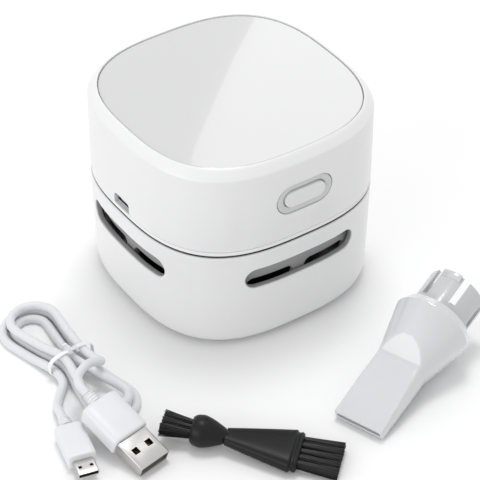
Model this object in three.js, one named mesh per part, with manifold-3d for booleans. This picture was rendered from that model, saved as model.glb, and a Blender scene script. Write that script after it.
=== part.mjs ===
// Desktop mini vacuum cleaner with its crevice nozzle, cleaning brush and charging cable.
// Lengths are millimetres, +Z is up and the table is z = 0.
// The button face looks along -Y and the charging socket face along -X.

import * as THREE from 'three';
import { mergeVertices } from 'three/addons/utils/BufferGeometryUtils.js';
import Module from 'manifold-3d';

const wasm = await Module();
wasm.setup();

// Place of the set: the vacuum stands off the middle, so that the whole set is centred
const vacuumX = 13.32;
const vacuumY = 33.35;

// Body: a soft square in plan
const bodyWidth = 88.0;
const bodyHeight = 74.5;
const cornerPower = 2.84;
const seamShare = 0.537;
const seamHeight = bodyHeight * seamShare;
const seamGap = 0.8;
const footHeight = 1.8;
const wall = 2.0;
const floorThick = 2.5;
const bottomInset = 0.6;
const bottomRound = 3.2;
const outlineSteps = 36;
const roundSteps = 24;
const smallSteps = 10;
const arcSteps = 4;
const ovalSteps = 28;
const cornerSteps = 3;

// Clearances: the gap between pieces that touch, and the overrun of every cut
const seat = 0.3;
const slide = 0.4;
const overrun = 1.0;
const mergeReach = 0.0001;

// Exhaust slots in the lower housing and the grille behind them
const slotLength = 44.0;
const slotTall = 8.0;
const slotDrop = 11.4;
const grilleWall = 1.4;
const grilleClear = 1.1;
const grilleTall = 19.5;
const windowLength = 17.6;
const windowTall = 5.0;
const windowDrop = 4.5;
const windowPitch = 22.4;

// Suction ring, which takes the nozzle's collar
const portRadius = 11.4;
const ringWall = 3.1;
const ringFlange = 2.0;
const flangeThick = 0.7;
const flangeClear = 0.8;

// Dust bowl with its inlet tube and the ledge that carries the filter
const bowlRadius = 33.0;
const bowlWall = 1.4;
const bowlFloor = 1.6;
const tubeWall = 1.2;
const tubeDrop = 5.4;
const tubeFlange = 2.4;
const tubeFlangeThick = 1.0;
const ledgeDrop = 7.6;
const ledgeWidth = 1.6;
const ledgeThick = 1.2;
const sealTall = 0.8;

// Filter in the bowl's ledge
const frameTall = 3.3;
const frameWidth = 5.2;
const frameLip = 1.5;
const frameLipTall = 0.7;
const meshThick = 1.3;
const pullTabLength = 12.0;
const pullTabWide = 2.4;
const pullTabTall = 1.4;

// Rubber feet and underside bristle strips
const footRadius = 4.0;
const footRecess = 0.5;
const footSpacing = 54.0;
const stripLength = 26.0;
const stripWide = 3.0;
const stripRecess = 0.8;
const stripClear = 0.5;
const stripSpacing = 46.0;

// Chassis plate between the halves, whose edge shows as a thin band
const bandTall = 1.5;
const bandInset = 0.2;
const spigotDepth = 1.8;
const spigotWall = 1.2;
const domeRadius = 25.5;
const domeWall = 1.5;
const domeRise = 7.1;
const domeHole = 4.5;

// Fan cover, impeller and motor
const coverDrop = 1.8;
const coverThick = 1.2;
const coverEye = 11.0;
const coverPostRadius = 3.6;
const coverPostInset = 4.5;
const impellerRadius = 22.0;
const impellerPlate = 0.8;
const impellerClear = 1.0;
const bladeTall = 4.4;
const bladeThick = 1.0;
const bladeInner = 10.0;
const bladeSweep = 0.7;
const bladeCount = 9;
const bladeSteps = 5;
const hubRadius = 4.0;
const shaftRadius = 1.0;
const shaftLength = 13.0;
const motorRadius = 12.0;
const motorHeadroom = 1.0;
const endcapThick = 2.0;
const endcapInset = 0.5;
const clampWall = 1.7;
const clampTall = 7.0;
const clampEarTall = 1.7;
const clampBossTall = 3.5;
const clampBossRadius = 3.0;
const clampBossPlace = 18.5;

// Screws
const screwRadius = 1.0;
const screwHole = 1.3;
const screwHeadRadius = 2.1;
const screwHeadTall = 1.1;
const screwHeadWell = 1.5;
const screwLength = 5.5;
const screwSlot = 0.6;
const screwSlotDeep = 0.5;
const postRadius = 3.4;
const postPlace = 29.5;
const postTall = 5.2;
const postRoof = 0.6;
const postWebWide = 2.4;

// Upper housing and its glossy top panel
const rimChamfer = 2.6;
const rimChamferTall = 3.4;
const panelInset = 3.2;
const panelSink = 0.5;
const panelThick = 1.4;
const panelBevel = 0.3;
const ledgeDeep = 1.7;
const ledgeReach = 2.0;

// Power button in its dish
const buttonShare = 0.467;
const dishLength = 22.4;
const dishTall = 11.4;
const dishDeep = 1.2;
const bezelThick = 0.4;
const buttonLength = 16.0;
const buttonTall = 6.0;
const buttonProud = 0.2;
const buttonTravel = 0.8;
const buttonFlange = 1.2;
const buttonFlangeThick = 0.8;
const switchSize = 6.0;
const switchDeep = 2.5;
const plungerRadius = 1.2;
const plungerTall = 0.8;
const boardThick = 1.0;
const switchBoardWide = 20.0;
const switchBoardTall = 20.0;
const ribThick = 0.8;
const ribTall = 3.0;

// Charging socket, control board and their parts
const notchWide = 9.2;
const notchTall = 4.4;
const notchRound = 1.6;
const socketWide = 7.5;
const socketDeep = 5.6;
const socketTall = 2.6;
const socketShell = 0.4;
const socketTongue = 0.7;
const socketInset = 0.8;
const boardClear = 1.1;
const boardLong = 28.0;
const boardWide = 13.0;
const chipLong = 5.0;
const chipWide = 4.0;
const chipTall = 1.2;
const capacitorRadius = 2.5;
const capacitorTall = 6.0;

// Battery cell in its cradle
const cellRadius = 7.0;
const cellLength = 48.5;
const cradleGap = 2.5;
const cradleFloor = 1.2;
const cradleWide = 15.0;
const cradleEnd = 1.6;
const cradleTall = 9.0;
const cradleLeg = 3.0;
const terminalThick = 0.4;
const terminalSize = 9.0;
const nippleRadius = 2.6;
const nippleTall = 1.2;

// Leads inside the upper housing
const leadRadius = 0.6;
const leadSides = 8;
const leadSteps = 12;
const leadBow = 2.0;

// Crevice nozzle, lying on its tip and on its cone
const nozzleX = -14.7;
const nozzleY = -95.5;
const nozzleTurn = 19.6;
const tipTall = 4.0;
const ductRadius = 9.3;
const ductTall = 10.4;
const ductLength = 26.0;
const rampLength = 6.5;
const rampSteps = 5;
const coneRadius = 13.9;
const coneLength = 45.0;
const coneMouthRadius = 12.6;
const coneMouthLength = 3.0;
const nozzleWall = 1.2;
const collarRadius = 10.4;
const collarWall = 1.3;
const collarLength = 16.5;
const collarSeat = 3.0;
const collarBase = 5.5;
const fingerGap = 2.4;
const fingerCount = 6;
const snapTall = 1.0;
const snapLong = 2.6;
const snapWide = 6.5;
const roundPower = 2;

// Cleaning brush, lying on its ferrule and on its wide end
const brushX = -69.1;
const brushY = -62.2;
const brushTurn = -47.4;
const brushLength = 59.4;
const handleSteps = 20;
const handlePower = 3;
const crownShare = 0.26;
const ferruleStart = 10.3;
const ferruleEnd = 24.5;
const ferruleRadius = 5.3;
const neckPlace = 21.5;
const neckWide = 6.4;
const neckTall = 3.6;
const bristleFree = 13.4;
const shoulderWide = 17.2;
const shoulderTall = 6.4;
const lipLength = 2.6;
const lipInset = 1.0;
const lipGroove = 0.5;
const socketDepth = 2.4;
const tuftBacking = 1.0;
const wideTufts = 5;
const narrowTufts = 3;
const widePitch = 2.7;
const narrowPitch = 2.2;
const tuftWide = 2.3;
const tuftTall = 3.4;
const narrowTuftTall = 3.2;
const narrowTuftWide = 1.8;
const strandRadius = 0.15;
const strandPitch = 0.37;
const strandSides = 3;
const unevenSteps = 10;
const wideSplayShare = 1.12;
const narrowSplayShare = 1.45;
const tipUneven = 0.5;

// Charging cable: a hank of two layers, tied at the waist, with a plug at each end
const cordDiameter = 3.0;
const cordPitch = 3.86;
const cordFlat = 0.3;
const hankX = -76.5;
const hankTurn = 4.0;
const hankFar = 5.0;
const hankNear = -41.0;
const foldRadius = 10.8;
const waistRadius = 6.7;
const hankTurns = 2.5;
const hankReverse = 1.5;
const loopSteps = 24;
const runShare = 1 / 12;
const cordSides = 6;
const gapSkip = 2.5;
const tieLift = 1.3;
const tieWide = 2.2;
const tieThick = 0.6;
const tieClear = 0.3;
const plugSteps = 20;
const plugPower = 5;
const moldLength = 16.5;
const moldWide = 14.2;
const moldTall = 7.6;
const moldTaper = 1.2;
const reliefLength = 4.0;
const reliefRadius = 2.6;
const shellWide = 12.0;
const shellTall = 4.5;
const shellLength = 11.8;
const shellThick = 0.4;
const shellWindow = 2.3;
const shellWindowPlace = 5.4;
const shellWindowPitch = 5.6;
const tongueThick = 1.8;
const usbX = -84.0;
const usbY = -46.8;
const usbTurn = -79.0;
const usbDrop = 17.5;
const microX = -93.8;
const microY = -44.5;
const microTurn = -103.0;
const microMoldLength = 16.0;
const microMoldWide = 9.6;
const microMoldTall = 6.2;
const microShellWide = 6.85;
const microShellTall = 1.8;
const microShellLength = 6.4;
// Points of the cord between each plug and the hank, from the table up
const microTail = [[-91.0, -33.4, 2.2], [-87.5, -28.8, 1.5]];
const usbTail = [[-70.6, -27.5, 7.6], [-72.8, -30.0, 10.2], [-77.8, -31.4, 12.8], [-84.0, -35.6, 13.2]];
const tailSteps = 0.5;

// Values worked out from the sizes above
const halfWidth = bodyWidth / 2;
const lowerTop = seamHeight - seamGap / 2;
const plateBottom = seamHeight + seamGap / 2;
const slotMiddle = seamHeight - slotDrop;
const windowMiddle = slotMiddle - windowDrop;
const grilleTop = plateBottom - spigotDepth - grilleClear;
const grilleBottom = grilleTop - grilleTall;
const plateTop = plateBottom + bandTall;
const shellBottom = plateTop + seat;
const floorTop = footHeight + floorThick;
const bowlBottom = floorTop + seat;
const tubeRadius = portRadius + seat;
const coverTop = plateBottom - coverDrop;
const coverBottom = coverTop - coverThick;
const coverPostPlace = bowlRadius - coverPostInset;
const bowlRim = coverBottom - seat - sealTall - seat;
const ledgeTop = bowlRim - ledgeDrop;
const tubeTop = ledgeTop - tubeDrop;
const domeTop = plateBottom + domeRise;
const impellerTop = domeTop - domeWall - impellerClear;
const shoulderPlace = brushLength - bristleFree - lipLength;
const panelTop = bodyHeight - panelSink;
const panelBottom = panelTop - panelThick;
const ledgeFace = panelBottom - seat;
const buttonMiddle = shellBottom + buttonShare * (bodyHeight - shellBottom);
const cordRadius = cordDiameter / 2;
const rad = Math.PI / 180;

// Materials
function finish(color, roughness, metalness = 0) {
  return new THREE.MeshStandardMaterial({ color, roughness, metalness });
}
const whiteShell = finish(0xe9e9ea, 0.35);
const bandWhite = finish(0xf1f1f2, 0.4);
const panelGloss = finish(0xe6e6e7, 0.06);
const buttonWhite = finish(0xe4e4e5, 0.35);
const dishGrey = finish(0xcfcfd0, 0.45);
const grilleGrey = finish(0x8a8a8b, 0.5);
const darkPlastic = finish(0x1c1c1d, 0.5);
const bowlSmoke = finish(0x3a3a3c, 0.2);
const sealRubber = finish(0x2a2a2b, 0.9);
const footRubber = finish(0x6f6f70, 0.9);
const stripNylon = finish(0x2f2f30, 0.7);
const frameBlack = finish(0x252526, 0.5);
const meshWhite = finish(0xd8d8d4, 0.95);
const steel = finish(0xb9bbbd, 0.25, 1);
const brass = finish(0xc9a24a, 0.3, 1);
const boardGreen = finish(0x1f5a3a, 0.5);
const chipBlack = finish(0x151516, 0.5);
const capacitorBlue = finish(0x27406e, 0.4);
const cellBlue = finish(0x2c63a8, 0.35);
const leadRed = finish(0xb0201c, 0.5);
const leadBlack = finish(0x161617, 0.5);
const nozzleClear = finish(0xd6d8dc, 0.15);
const collarGrey = finish(0xb4b6b9, 0.25);
const brushBlack = finish(0x2b2b2c, 0.45);
const bristleBlack = finish(0x303031, 0.6);
const cordWhite = finish(0xe8e9ec, 0.5);
const tieWhite = finish(0xeeeff1, 0.5);
const shellSteel = finish(0xdcdad6, 0.25, 1);

// Closed solids from geometries: vertices merged, empty triangles dropped, faces turned outwards
function toSolid(geometry) {
  const bare = new THREE.BufferGeometry();
  bare.setAttribute('position', geometry.getAttribute('position').clone());
  if (geometry.index) bare.setIndex(geometry.index.clone());
  const merged = mergeVertices(bare, mergeReach);
  const place = merged.getAttribute('position');
  const triangles = [];
  let volume = 0;
  const a = new THREE.Vector3();
  const b = new THREE.Vector3();
  const c = new THREE.Vector3();
  for (let i = 0; i < merged.index.count; i += 3) {
    const [p, q, r] = [0, 1, 2].map((k) => merged.index.getX(i + k));
    if (p === q || q === r || r === p) continue;
    triangles.push(p, q, r);
    a.fromBufferAttribute(place, p);
    b.fromBufferAttribute(place, q);
    c.fromBufferAttribute(place, r);
    volume += a.dot(b.cross(c));
  }
  if (volume < 0) {
    for (let i = 0; i < triangles.length; i += 3) {
      [triangles[i], triangles[i + 1]] = [triangles[i + 1], triangles[i]];
    }
  }
  return new wasm.Manifold(new wasm.Mesh({
    numProp: 3,
    vertProperties: Float32Array.from(place.array),
    triVerts: Uint32Array.from(triangles),
  }));
}

function toGeometry(solid) {
  const mesh = solid.getMesh();
  const geometry = new THREE.BufferGeometry();
  const points = new Float32Array(mesh.numVert * 3);
  for (let i = 0; i < mesh.numVert; i += 1) {
    for (let k = 0; k < 3; k += 1) {
      points[i * 3 + k] = mesh.vertProperties[i * mesh.numProp + k];
    }
  }
  geometry.setAttribute('position', new THREE.BufferAttribute(points, 3));
  geometry.setIndex(new THREE.BufferAttribute(Uint32Array.from(mesh.triVerts), 1));
  geometry.computeVertexNormals();
  return geometry;
}

function solidOf(shape) {
  return shape.isBufferGeometry ? toSolid(shape) : shape;
}

function join(...shapes) {
  return shapes.map(solidOf).reduce((all, next) => all.add(next));
}

function cut(body, ...tools) {
  return tools.map(solidOf).reduce((left, tool) => left.subtract(tool), solidOf(body));
}

function addPart(name, shape, material, parent) {
  const mesh = new THREE.Mesh(toGeometry(solidOf(shape)), material);
  mesh.name = name;
  parent.add(mesh);
  return mesh;
}

// Shapes that several pieces share
function box(x0, x1, y0, y1, z0, z1) {
  const geometry = new THREE.BoxGeometry(x1 - x0, y1 - y0, z1 - z0);
  return geometry.translate((x0 + x1) / 2, (y0 + y1) / 2, (z0 + z1) / 2);
}

function boxAt(x, y, wide, deep, z0, z1) {
  return box(x - wide / 2, x + wide / 2, y - deep / 2, y + deep / 2, z0, z1);
}

// A solid turned about Z from a closed profile of [radius, height] points
function turned(profile, steps = roundSteps) {
  const points = profile.map(([r, z]) => new THREE.Vector2(r, z));
  if (profile[0][0] > 0 || profile.at(-1)[0] > 0) points.push(points[0].clone());
  const geometry = new THREE.LatheGeometry(points, steps);
  return geometry.rotateX(Math.PI / 2);
}

function disc(radius, z0, z1, steps = smallSteps) {
  return turned([[0, z0], [radius, z0], [radius, z1], [0, z1]], steps);
}

function tubeRing(outer, inner, z0, z1, steps = roundSteps) {
  return turned([[inner, z0], [outer, z0], [outer, z1], [inner, z1]], steps);
}

// A stack of closed outlines, each a list of points, capped at both ends
function loft(rings) {
  const count = rings[0].length;
  const points = rings.flat();
  const index = [];
  for (let ring = 0; ring < rings.length - 1; ring += 1) {
    for (let i = 0; i < count; i += 1) {
      const a = ring * count + i;
      const b = ring * count + (i + 1) % count;
      index.push(a, b, b + count, a, b + count, a + count);
    }
  }
  for (const [ring, flip] of [[0, true], [rings.length - 1, false]]) {
    if (count === 3) {
      const a = ring * count;
      index.push(a, flip ? a + 2 : a + 1, flip ? a + 1 : a + 2);
      continue;
    }
    const centre = new THREE.Vector3();
    for (const point of rings[ring]) centre.addScaledVector(point, 1 / count);
    points.push(centre);
    for (let i = 0; i < count; i += 1) {
      const a = ring * count + i;
      const b = ring * count + (i + 1) % count;
      index.push(points.length - 1, flip ? b : a, flip ? a : b);
    }
  }
  const geometry = new THREE.BufferGeometry().setFromPoints(points);
  return geometry.setIndex(index);
}

// The body's outline, a superellipse of the given half width
function softSquare(half, z, steps = outlineSteps) {
  const ring = [];
  for (let i = 0; i < steps; i += 1) {
    const turn = 2 * Math.PI * i / steps;
    const c = Math.cos(turn);
    const s = Math.sin(turn);
    const reach = half * (Math.abs(c) ** cornerPower + Math.abs(s) ** cornerPower) ** (-1 / cornerPower);
    ring.push(new THREE.Vector3(reach * c, reach * s, z));
  }
  return ring;
}

function softStack(levels) {
  return loft(levels.map(([half, z]) => softSquare(half, z)));
}

function halfOval(wide, tall, power, x, steps = ovalSteps) {
  const ring = [];
  for (let i = 0; i < steps; i += 1) {
    const turn = 2 * Math.PI * i / steps;
    const c = Math.cos(turn);
    const s = Math.sin(turn);
    const y = wide * Math.sign(c) * Math.abs(c) ** (2 / power);
    const z = tall * Math.sign(s) * Math.abs(s) ** (2 / power);
    ring.push(new THREE.Vector3(x, y, z));
  }
  return ring;
}

function extruded(shape, depth, curveSegments) {
  return new THREE.ExtrudeGeometry(shape, { depth, bevelEnabled: false, curveSegments });
}

// A pill standing upright in the XZ plane, from y0 to y1
function pill(long, tall, y0, y1, steps = arcSteps) {
  const shape = new THREE.Shape();
  const reach = (long - tall) / 2;
  shape.absarc(reach, 0, tall / 2, -Math.PI / 2, Math.PI / 2);
  shape.absarc(-reach, 0, tall / 2, Math.PI / 2, 3 * Math.PI / 2);
  const geometry = extruded(shape, y1 - y0, steps);
  return geometry.rotateX(Math.PI / 2).translate(0, y1, 0);
}

// A flat plate with round corners, from z0 to z1
function roundPlate(wide, deep, corner, z0, z1) {
  const shape = new THREE.Shape();
  const x = wide / 2 - corner;
  const y = deep / 2 - corner;
  shape.absarc(x, y, corner, 0, Math.PI / 2);
  shape.absarc(-x, y, corner, Math.PI / 2, Math.PI);
  shape.absarc(-x, -y, corner, Math.PI, 3 * Math.PI / 2);
  shape.absarc(x, -y, corner, 3 * Math.PI / 2, 2 * Math.PI);
  return extruded(shape, z1 - z0, cornerSteps).translate(0, 0, z0);
}

// A round lead or cord along a smooth line through the points
function tube(points, radius, sides, steps) {
  const curve = new THREE.CatmullRomCurve3(points.map((p) => new THREE.Vector3(...p)));
  const section = new THREE.Shape();
  for (let i = 0; i < sides; i += 1) {
    const turn = 2 * Math.PI * i / sides;
    const x = radius * Math.cos(turn);
    const y = radius * Math.sin(turn);
    if (i === 0) section.moveTo(x, y);
    else section.lineTo(x, y);
  }
  return new THREE.ExtrudeGeometry(section, { steps, extrudePath: curve });
}

function fourWays(place) {
  return [[1, 1], [-1, 1], [-1, -1], [1, -1]].map(([x, y]) => [x * place, y * place]);
}

const set = new THREE.Group();
const vacuum = new THREE.Group();
vacuum.position.set(vacuumX, vacuumY, 0);
set.add(vacuum);

// Lower housing: a tapering shell with four exhaust slots, the port hole and recesses below
const bottomHalf = halfWidth - bottomInset;
// Each row of the rounded bottom edge: how far in and how far up, as shares of its round
const bottomShares = [[1, 0], [0.35, 0.3], [0.07, 1], [0, 2]];
const outerLower = softStack([
  ...bottomShares.map(([inset, rise]) => [bottomHalf - inset * bottomRound, footHeight + rise * bottomRound]),
  [halfWidth, lowerTop],
]);
const innerLower = softStack([
  [bottomHalf - bottomRound - wall, floorTop],
  [bottomHalf - wall, footHeight + 2 * bottomRound],
  [halfWidth - wall, lowerTop],
  [halfWidth - wall, lowerTop + overrun],
]);
const slotCuts = [0, 1, 2, 3].map((side) => {
  const slot = pill(slotLength, slotTall, -halfWidth - overrun, -halfWidth + 3 * wall);
  return slot.translate(0, 0, slotMiddle).rotateZ(side * Math.PI / 2);
});
const footRecesses = fourWays(footSpacing / 2).map(([x, y]) => {
  const recess = disc(footRadius + seat, footHeight - overrun, footHeight + footRecess);
  return recess.translate(x, y, 0);
});
const stripRecesses = [-1, 1].map((side) => boxAt(
  0, side * stripSpacing / 2, stripLength + 2 * seat, stripWide + 2 * seat,
  footHeight - overrun, footHeight + stripRecess,
));
const ringOuter = portRadius + ringWall;
const portHole = disc(ringOuter + seat, footHeight - overrun, floorTop + overrun, roundSteps);
addPart('lower_housing', cut(
  outerLower, innerLower, portHole, ...slotCuts, ...footRecesses, ...stripRecesses,
), whiteShell, vacuum);

// Grey exhaust grille just inside the slots, with two pill windows behind each slot
const grilleHalf = halfWidth - wall - bottomInset - seat;
const grilleShell = cut(
  softStack([[grilleHalf, grilleBottom], [grilleHalf, grilleTop]]),
  softStack([
    [grilleHalf - grilleWall, grilleBottom - overrun],
    [grilleHalf - grilleWall, grilleTop + overrun],
  ]),
);
const windowCuts = [];
for (let side = 0; side < 4; side += 1) {
  for (const place of [-windowPitch / 2, windowPitch / 2]) {
    const opening = pill(windowLength, windowTall, -halfWidth, -halfWidth + 4 * wall + grilleWall);
    windowCuts.push(opening.translate(place, 0, windowMiddle).rotateZ(side * Math.PI / 2));
  }
}
addPart('exhaust_grille', cut(grilleShell, ...windowCuts), grilleGrey, vacuum);

// Suction ring in the underside, flanged below the housing
const flangeBottom = flangeClear;
addPart('suction_ring', turned([
  [portRadius, flangeBottom],
  [ringOuter + ringFlange, flangeBottom],
  [ringOuter + ringFlange, flangeBottom + flangeThick],
  [ringOuter, flangeBottom + flangeThick],
  [ringOuter, floorTop],
  [portRadius, floorTop],
]), darkPlastic, vacuum);

// Dust bowl: outer wall, floor with a hole for the inlet tube, and the filter's ledge
const bowlInner = bowlRadius - bowlWall;
const bowlFloorTop = bowlBottom + bowlFloor;
const tubeOuter = tubeRadius + tubeWall;
addPart('dust_bowl', turned([
  [tubeOuter + seat, bowlBottom],
  [bowlRadius, bowlBottom],
  [bowlRadius, bowlRim],
  [bowlInner, bowlRim],
  [bowlInner, ledgeTop],
  [bowlInner - ledgeWidth, ledgeTop],
  [bowlInner - ledgeWidth, ledgeTop - ledgeThick],
  [bowlInner, ledgeTop - ledgeThick - ledgeWidth],
  [bowlInner, bowlFloorTop],
  [tubeOuter + seat, bowlFloorTop],
]), bowlSmoke, vacuum);

// Inlet tube, whose flange sits on the bowl's floor
const tubeFlangeBottom = bowlFloorTop + seat;
addPart('inlet_tube', turned([
  [tubeRadius, bowlBottom],
  [tubeOuter, bowlBottom],
  [tubeOuter, tubeFlangeBottom],
  [tubeOuter + tubeFlange, tubeFlangeBottom],
  [tubeOuter + tubeFlange, tubeFlangeBottom + tubeFlangeThick],
  [tubeOuter, tubeFlangeBottom + tubeFlangeThick],
  [tubeOuter, tubeTop],
  [tubeRadius, tubeTop],
]), bowlSmoke, vacuum);
addPart('bowl_seal', tubeRing(
  bowlRadius, bowlInner, bowlRim + seat, bowlRim + seat + sealTall,
), sealRubber, vacuum);

// Filter: a frame with a lip and a pull tab, and the mesh disc it carries
const frameOuter = bowlInner - slide;
const frameInner = frameOuter - frameWidth;
const frameBottom = ledgeTop + seat;
const frameTop = frameBottom + frameTall;
const meshBottom = frameBottom + frameLipTall + seat;
const frameRing = turned([
  [frameInner - frameLip, frameBottom],
  [frameOuter, frameBottom],
  [frameOuter, frameTop],
  [frameInner, frameTop],
  [frameInner, frameBottom + frameLipTall],
  [frameInner - frameLip, frameBottom + frameLipTall],
], roundSteps);
const pullTab = boxAt(
  0, -(frameInner + frameOuter) / 2, pullTabLength, pullTabWide, frameTop - overrun, frameTop + pullTabTall,
);
addPart('filter_frame', join(frameRing, pullTab), frameBlack, vacuum);
const meshDisc = disc(frameInner - seat, meshBottom, meshBottom + meshThick, roundSteps);
addPart('filter_mesh', meshDisc, meshWhite, vacuum);

// Rubber feet and the two bristle strips of the underside
const footNames = ['foot_rear_right', 'foot_rear_left', 'foot_front_left', 'foot_front_right'];
fourWays(footSpacing / 2).forEach(([x, y], i) => {
  const pad = disc(footRadius, 0, footHeight + footRecess - seat);
  addPart(footNames[i], pad, footRubber, vacuum).position.set(x, y, 0);
});
for (const [name, side] of [['bristle_strip_front', -1], ['bristle_strip_rear', 1]]) {
  const strip = boxAt(0, 0, stripLength, stripWide, stripClear, footHeight + stripRecess - seat);
  addPart(name, strip, stripNylon, vacuum).position.set(0, side * stripSpacing / 2, 0);
}

// Chassis plate: the upper half's floor with the band, the spigot, the fan dome and screw bosses
const bandHalf = halfWidth - bandInset;
const spigotHalf = halfWidth - wall - slide;
const postPlaces = fourWays(postPlace);
const coverPlaces = [0, 1, 2].map((i) => {
  const turn = i * 2 * Math.PI / 3;
  return [coverPostPlace * Math.cos(turn), coverPostPlace * Math.sin(turn)];
});
const clampPlaces = [[-clampBossPlace, 0], [clampBossPlace, 0]];
const screwTip = coverBottom + screwHeadWell + seat + screwLength;
const domeInner = domeRadius - domeWall;
const domeUnder = domeTop - domeWall;
const clampBossTop = domeTop + clampBossTall;
const dome = turned([
  [domeInner, plateBottom],
  [domeRadius, plateBottom],
  [domeRadius, domeTop],
  [domeHole, domeTop],
  [domeHole, domeUnder],
  [domeInner, domeUnder],
], roundSteps);
const plateFlat = cut(
  softStack([[bandHalf, plateBottom], [bandHalf, plateTop]]),
  disc(domeRadius - domeWall / 2, plateBottom - overrun, plateTop + overrun, roundSteps),
);
const spigot = cut(
  softStack([[spigotHalf, plateBottom - spigotDepth], [spigotHalf, plateTop - bandTall / 2]]),
  softStack([
    [spigotHalf - spigotWall, plateBottom - spigotDepth - overrun],
    [spigotHalf - spigotWall, plateTop],
  ]),
);
const coverBosses = coverPlaces.map(([x, y]) => disc(postRadius, plateTop - bandTall / 2, screwTip + overrun)
  .translate(x, y, 0));
const clampBosses = clampPlaces.map(([x, y]) => disc(clampBossRadius, domeTop - domeWall / 2, clampBossTop)
  .translate(x, y, 0));
const switchBoardBack = -halfWidth + wall + seat + buttonFlangeThick + buttonTravel + seat
  + plungerTall + switchDeep + seat + boardThick;
const switchBoardFront = switchBoardBack - boardThick;
const ribs = [
  box(-switchBoardWide / 2, switchBoardWide / 2, switchBoardBack + seat, switchBoardBack + seat + ribThick,
    plateTop - bandTall / 2, plateTop + ribTall),
  box(-switchBoardWide / 2, switchBoardWide / 2, switchBoardFront - seat - ribThick, switchBoardFront - seat,
    plateTop - bandTall / 2, plateTop + ribTall),
];
const coverHoles = coverPlaces.map(([x, y]) => disc(screwHole, plateBottom - overrun, screwTip + seat)
  .translate(x, y, 0));
const clampHoles = clampPlaces.map(([x, y]) => disc(screwHole, domeTop - domeWall / 3, clampBossTop + overrun)
  .translate(x, y, 0));
const postHoles = postPlaces.map(([x, y]) => disc(screwHole, plateBottom - overrun, plateTop + overrun)
  .translate(x, y, 0));
const postWells = postPlaces.map(([x, y]) => disc(
  screwHeadRadius + slide, plateBottom - overrun, plateBottom + bandTall / 2,
).translate(x, y, 0));
addPart('chassis_plate', cut(
  join(plateFlat, dome, spigot, ...coverBosses, ...clampBosses, ...ribs),
  ...coverHoles, ...clampHoles, ...postHoles, ...postWells,
), bandWhite, vacuum);

// Screws: slotted, with the bearing face of the head at zero and the shank along +Z
function screw(length) {
  const body = turned([
    [0, -screwHeadTall],
    [screwHeadRadius, -screwHeadTall],
    [screwHeadRadius, 0],
    [screwRadius, 0],
    [screwRadius, length],
    [0, length],
  ], smallSteps);
  return cut(body, boxAt(
    0, 0, 3 * screwHeadRadius, screwSlot, -screwHeadTall - overrun, screwSlotDeep - screwHeadTall,
  ));
}

// Fan cover below the dome, with the eye that draws air through the filter
const coverPosts = coverPlaces.map(([x, y]) => disc(
  coverPostRadius, coverTop - coverThick / 2, plateBottom - seat,
).translate(x, y, 0));
const coverWells = coverPlaces.map(([x, y]) => disc(
  screwHeadRadius + slide, coverBottom - overrun, coverBottom + screwHeadWell,
).translate(x, y, 0));
const coverBores = coverPlaces.map(([x, y]) => disc(
  screwHole, coverBottom, plateBottom + overrun,
).translate(x, y, 0));
addPart('fan_cover', cut(
  join(tubeRing(bowlRadius, coverEye, coverBottom, coverTop, roundSteps), ...coverPosts),
  ...coverWells, ...coverBores,
), darkPlastic, vacuum);
coverPlaces.forEach(([x, y], i) => {
  const piece = addPart(`cover_screw_${i + 1}`, screw(screwLength), steel, vacuum);
  piece.position.set(x, y, coverBottom + screwHeadWell - seat);
});
postPlaces.forEach(([x, y], i) => {
  const piece = addPart(`chassis_screw_${i + 1}`, screw(screwLength), steel, vacuum);
  piece.position.set(x, y, plateBottom + bandTall / 2 - seat);
});

// Impeller: a back plate with swept blades below it and a bored hub
function blade() {
  const outer = [];
  const inner = [];
  for (let i = 0; i <= bladeSteps; i += 1) {
    const share = i / bladeSteps;
    const reach = bladeInner + share * (impellerRadius - bladeThick - bladeInner);
    const turn = bladeSweep * share;
    const lean = turn + Math.PI / 2;
    const middle = new THREE.Vector2(reach * Math.cos(turn), reach * Math.sin(turn));
    const side = new THREE.Vector2(Math.cos(lean), Math.sin(lean)).multiplyScalar(bladeThick / 2);
    outer.push(middle.clone().add(side));
    inner.unshift(middle.clone().sub(side));
  }
  const shape = new THREE.Shape([...outer, ...inner]);
  const geometry = extruded(shape, bladeTall + impellerPlate / 2, bladeSteps);
  return geometry.translate(0, 0, impellerTop - impellerPlate - bladeTall);
}
const blades = [];
for (let i = 0; i < bladeCount; i += 1) blades.push(blade().rotateZ(i * 2 * Math.PI / bladeCount));
const hubBottom = impellerTop - impellerPlate - bladeTall;
addPart('impeller', cut(
  join(
    disc(impellerRadius, impellerTop - impellerPlate, impellerTop, roundSteps),
    disc(hubRadius, hubBottom, impellerTop),
    ...blades,
  ),
  disc(screwHole, hubBottom - overrun, impellerTop + overrun),
), darkPlastic, vacuum);

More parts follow.
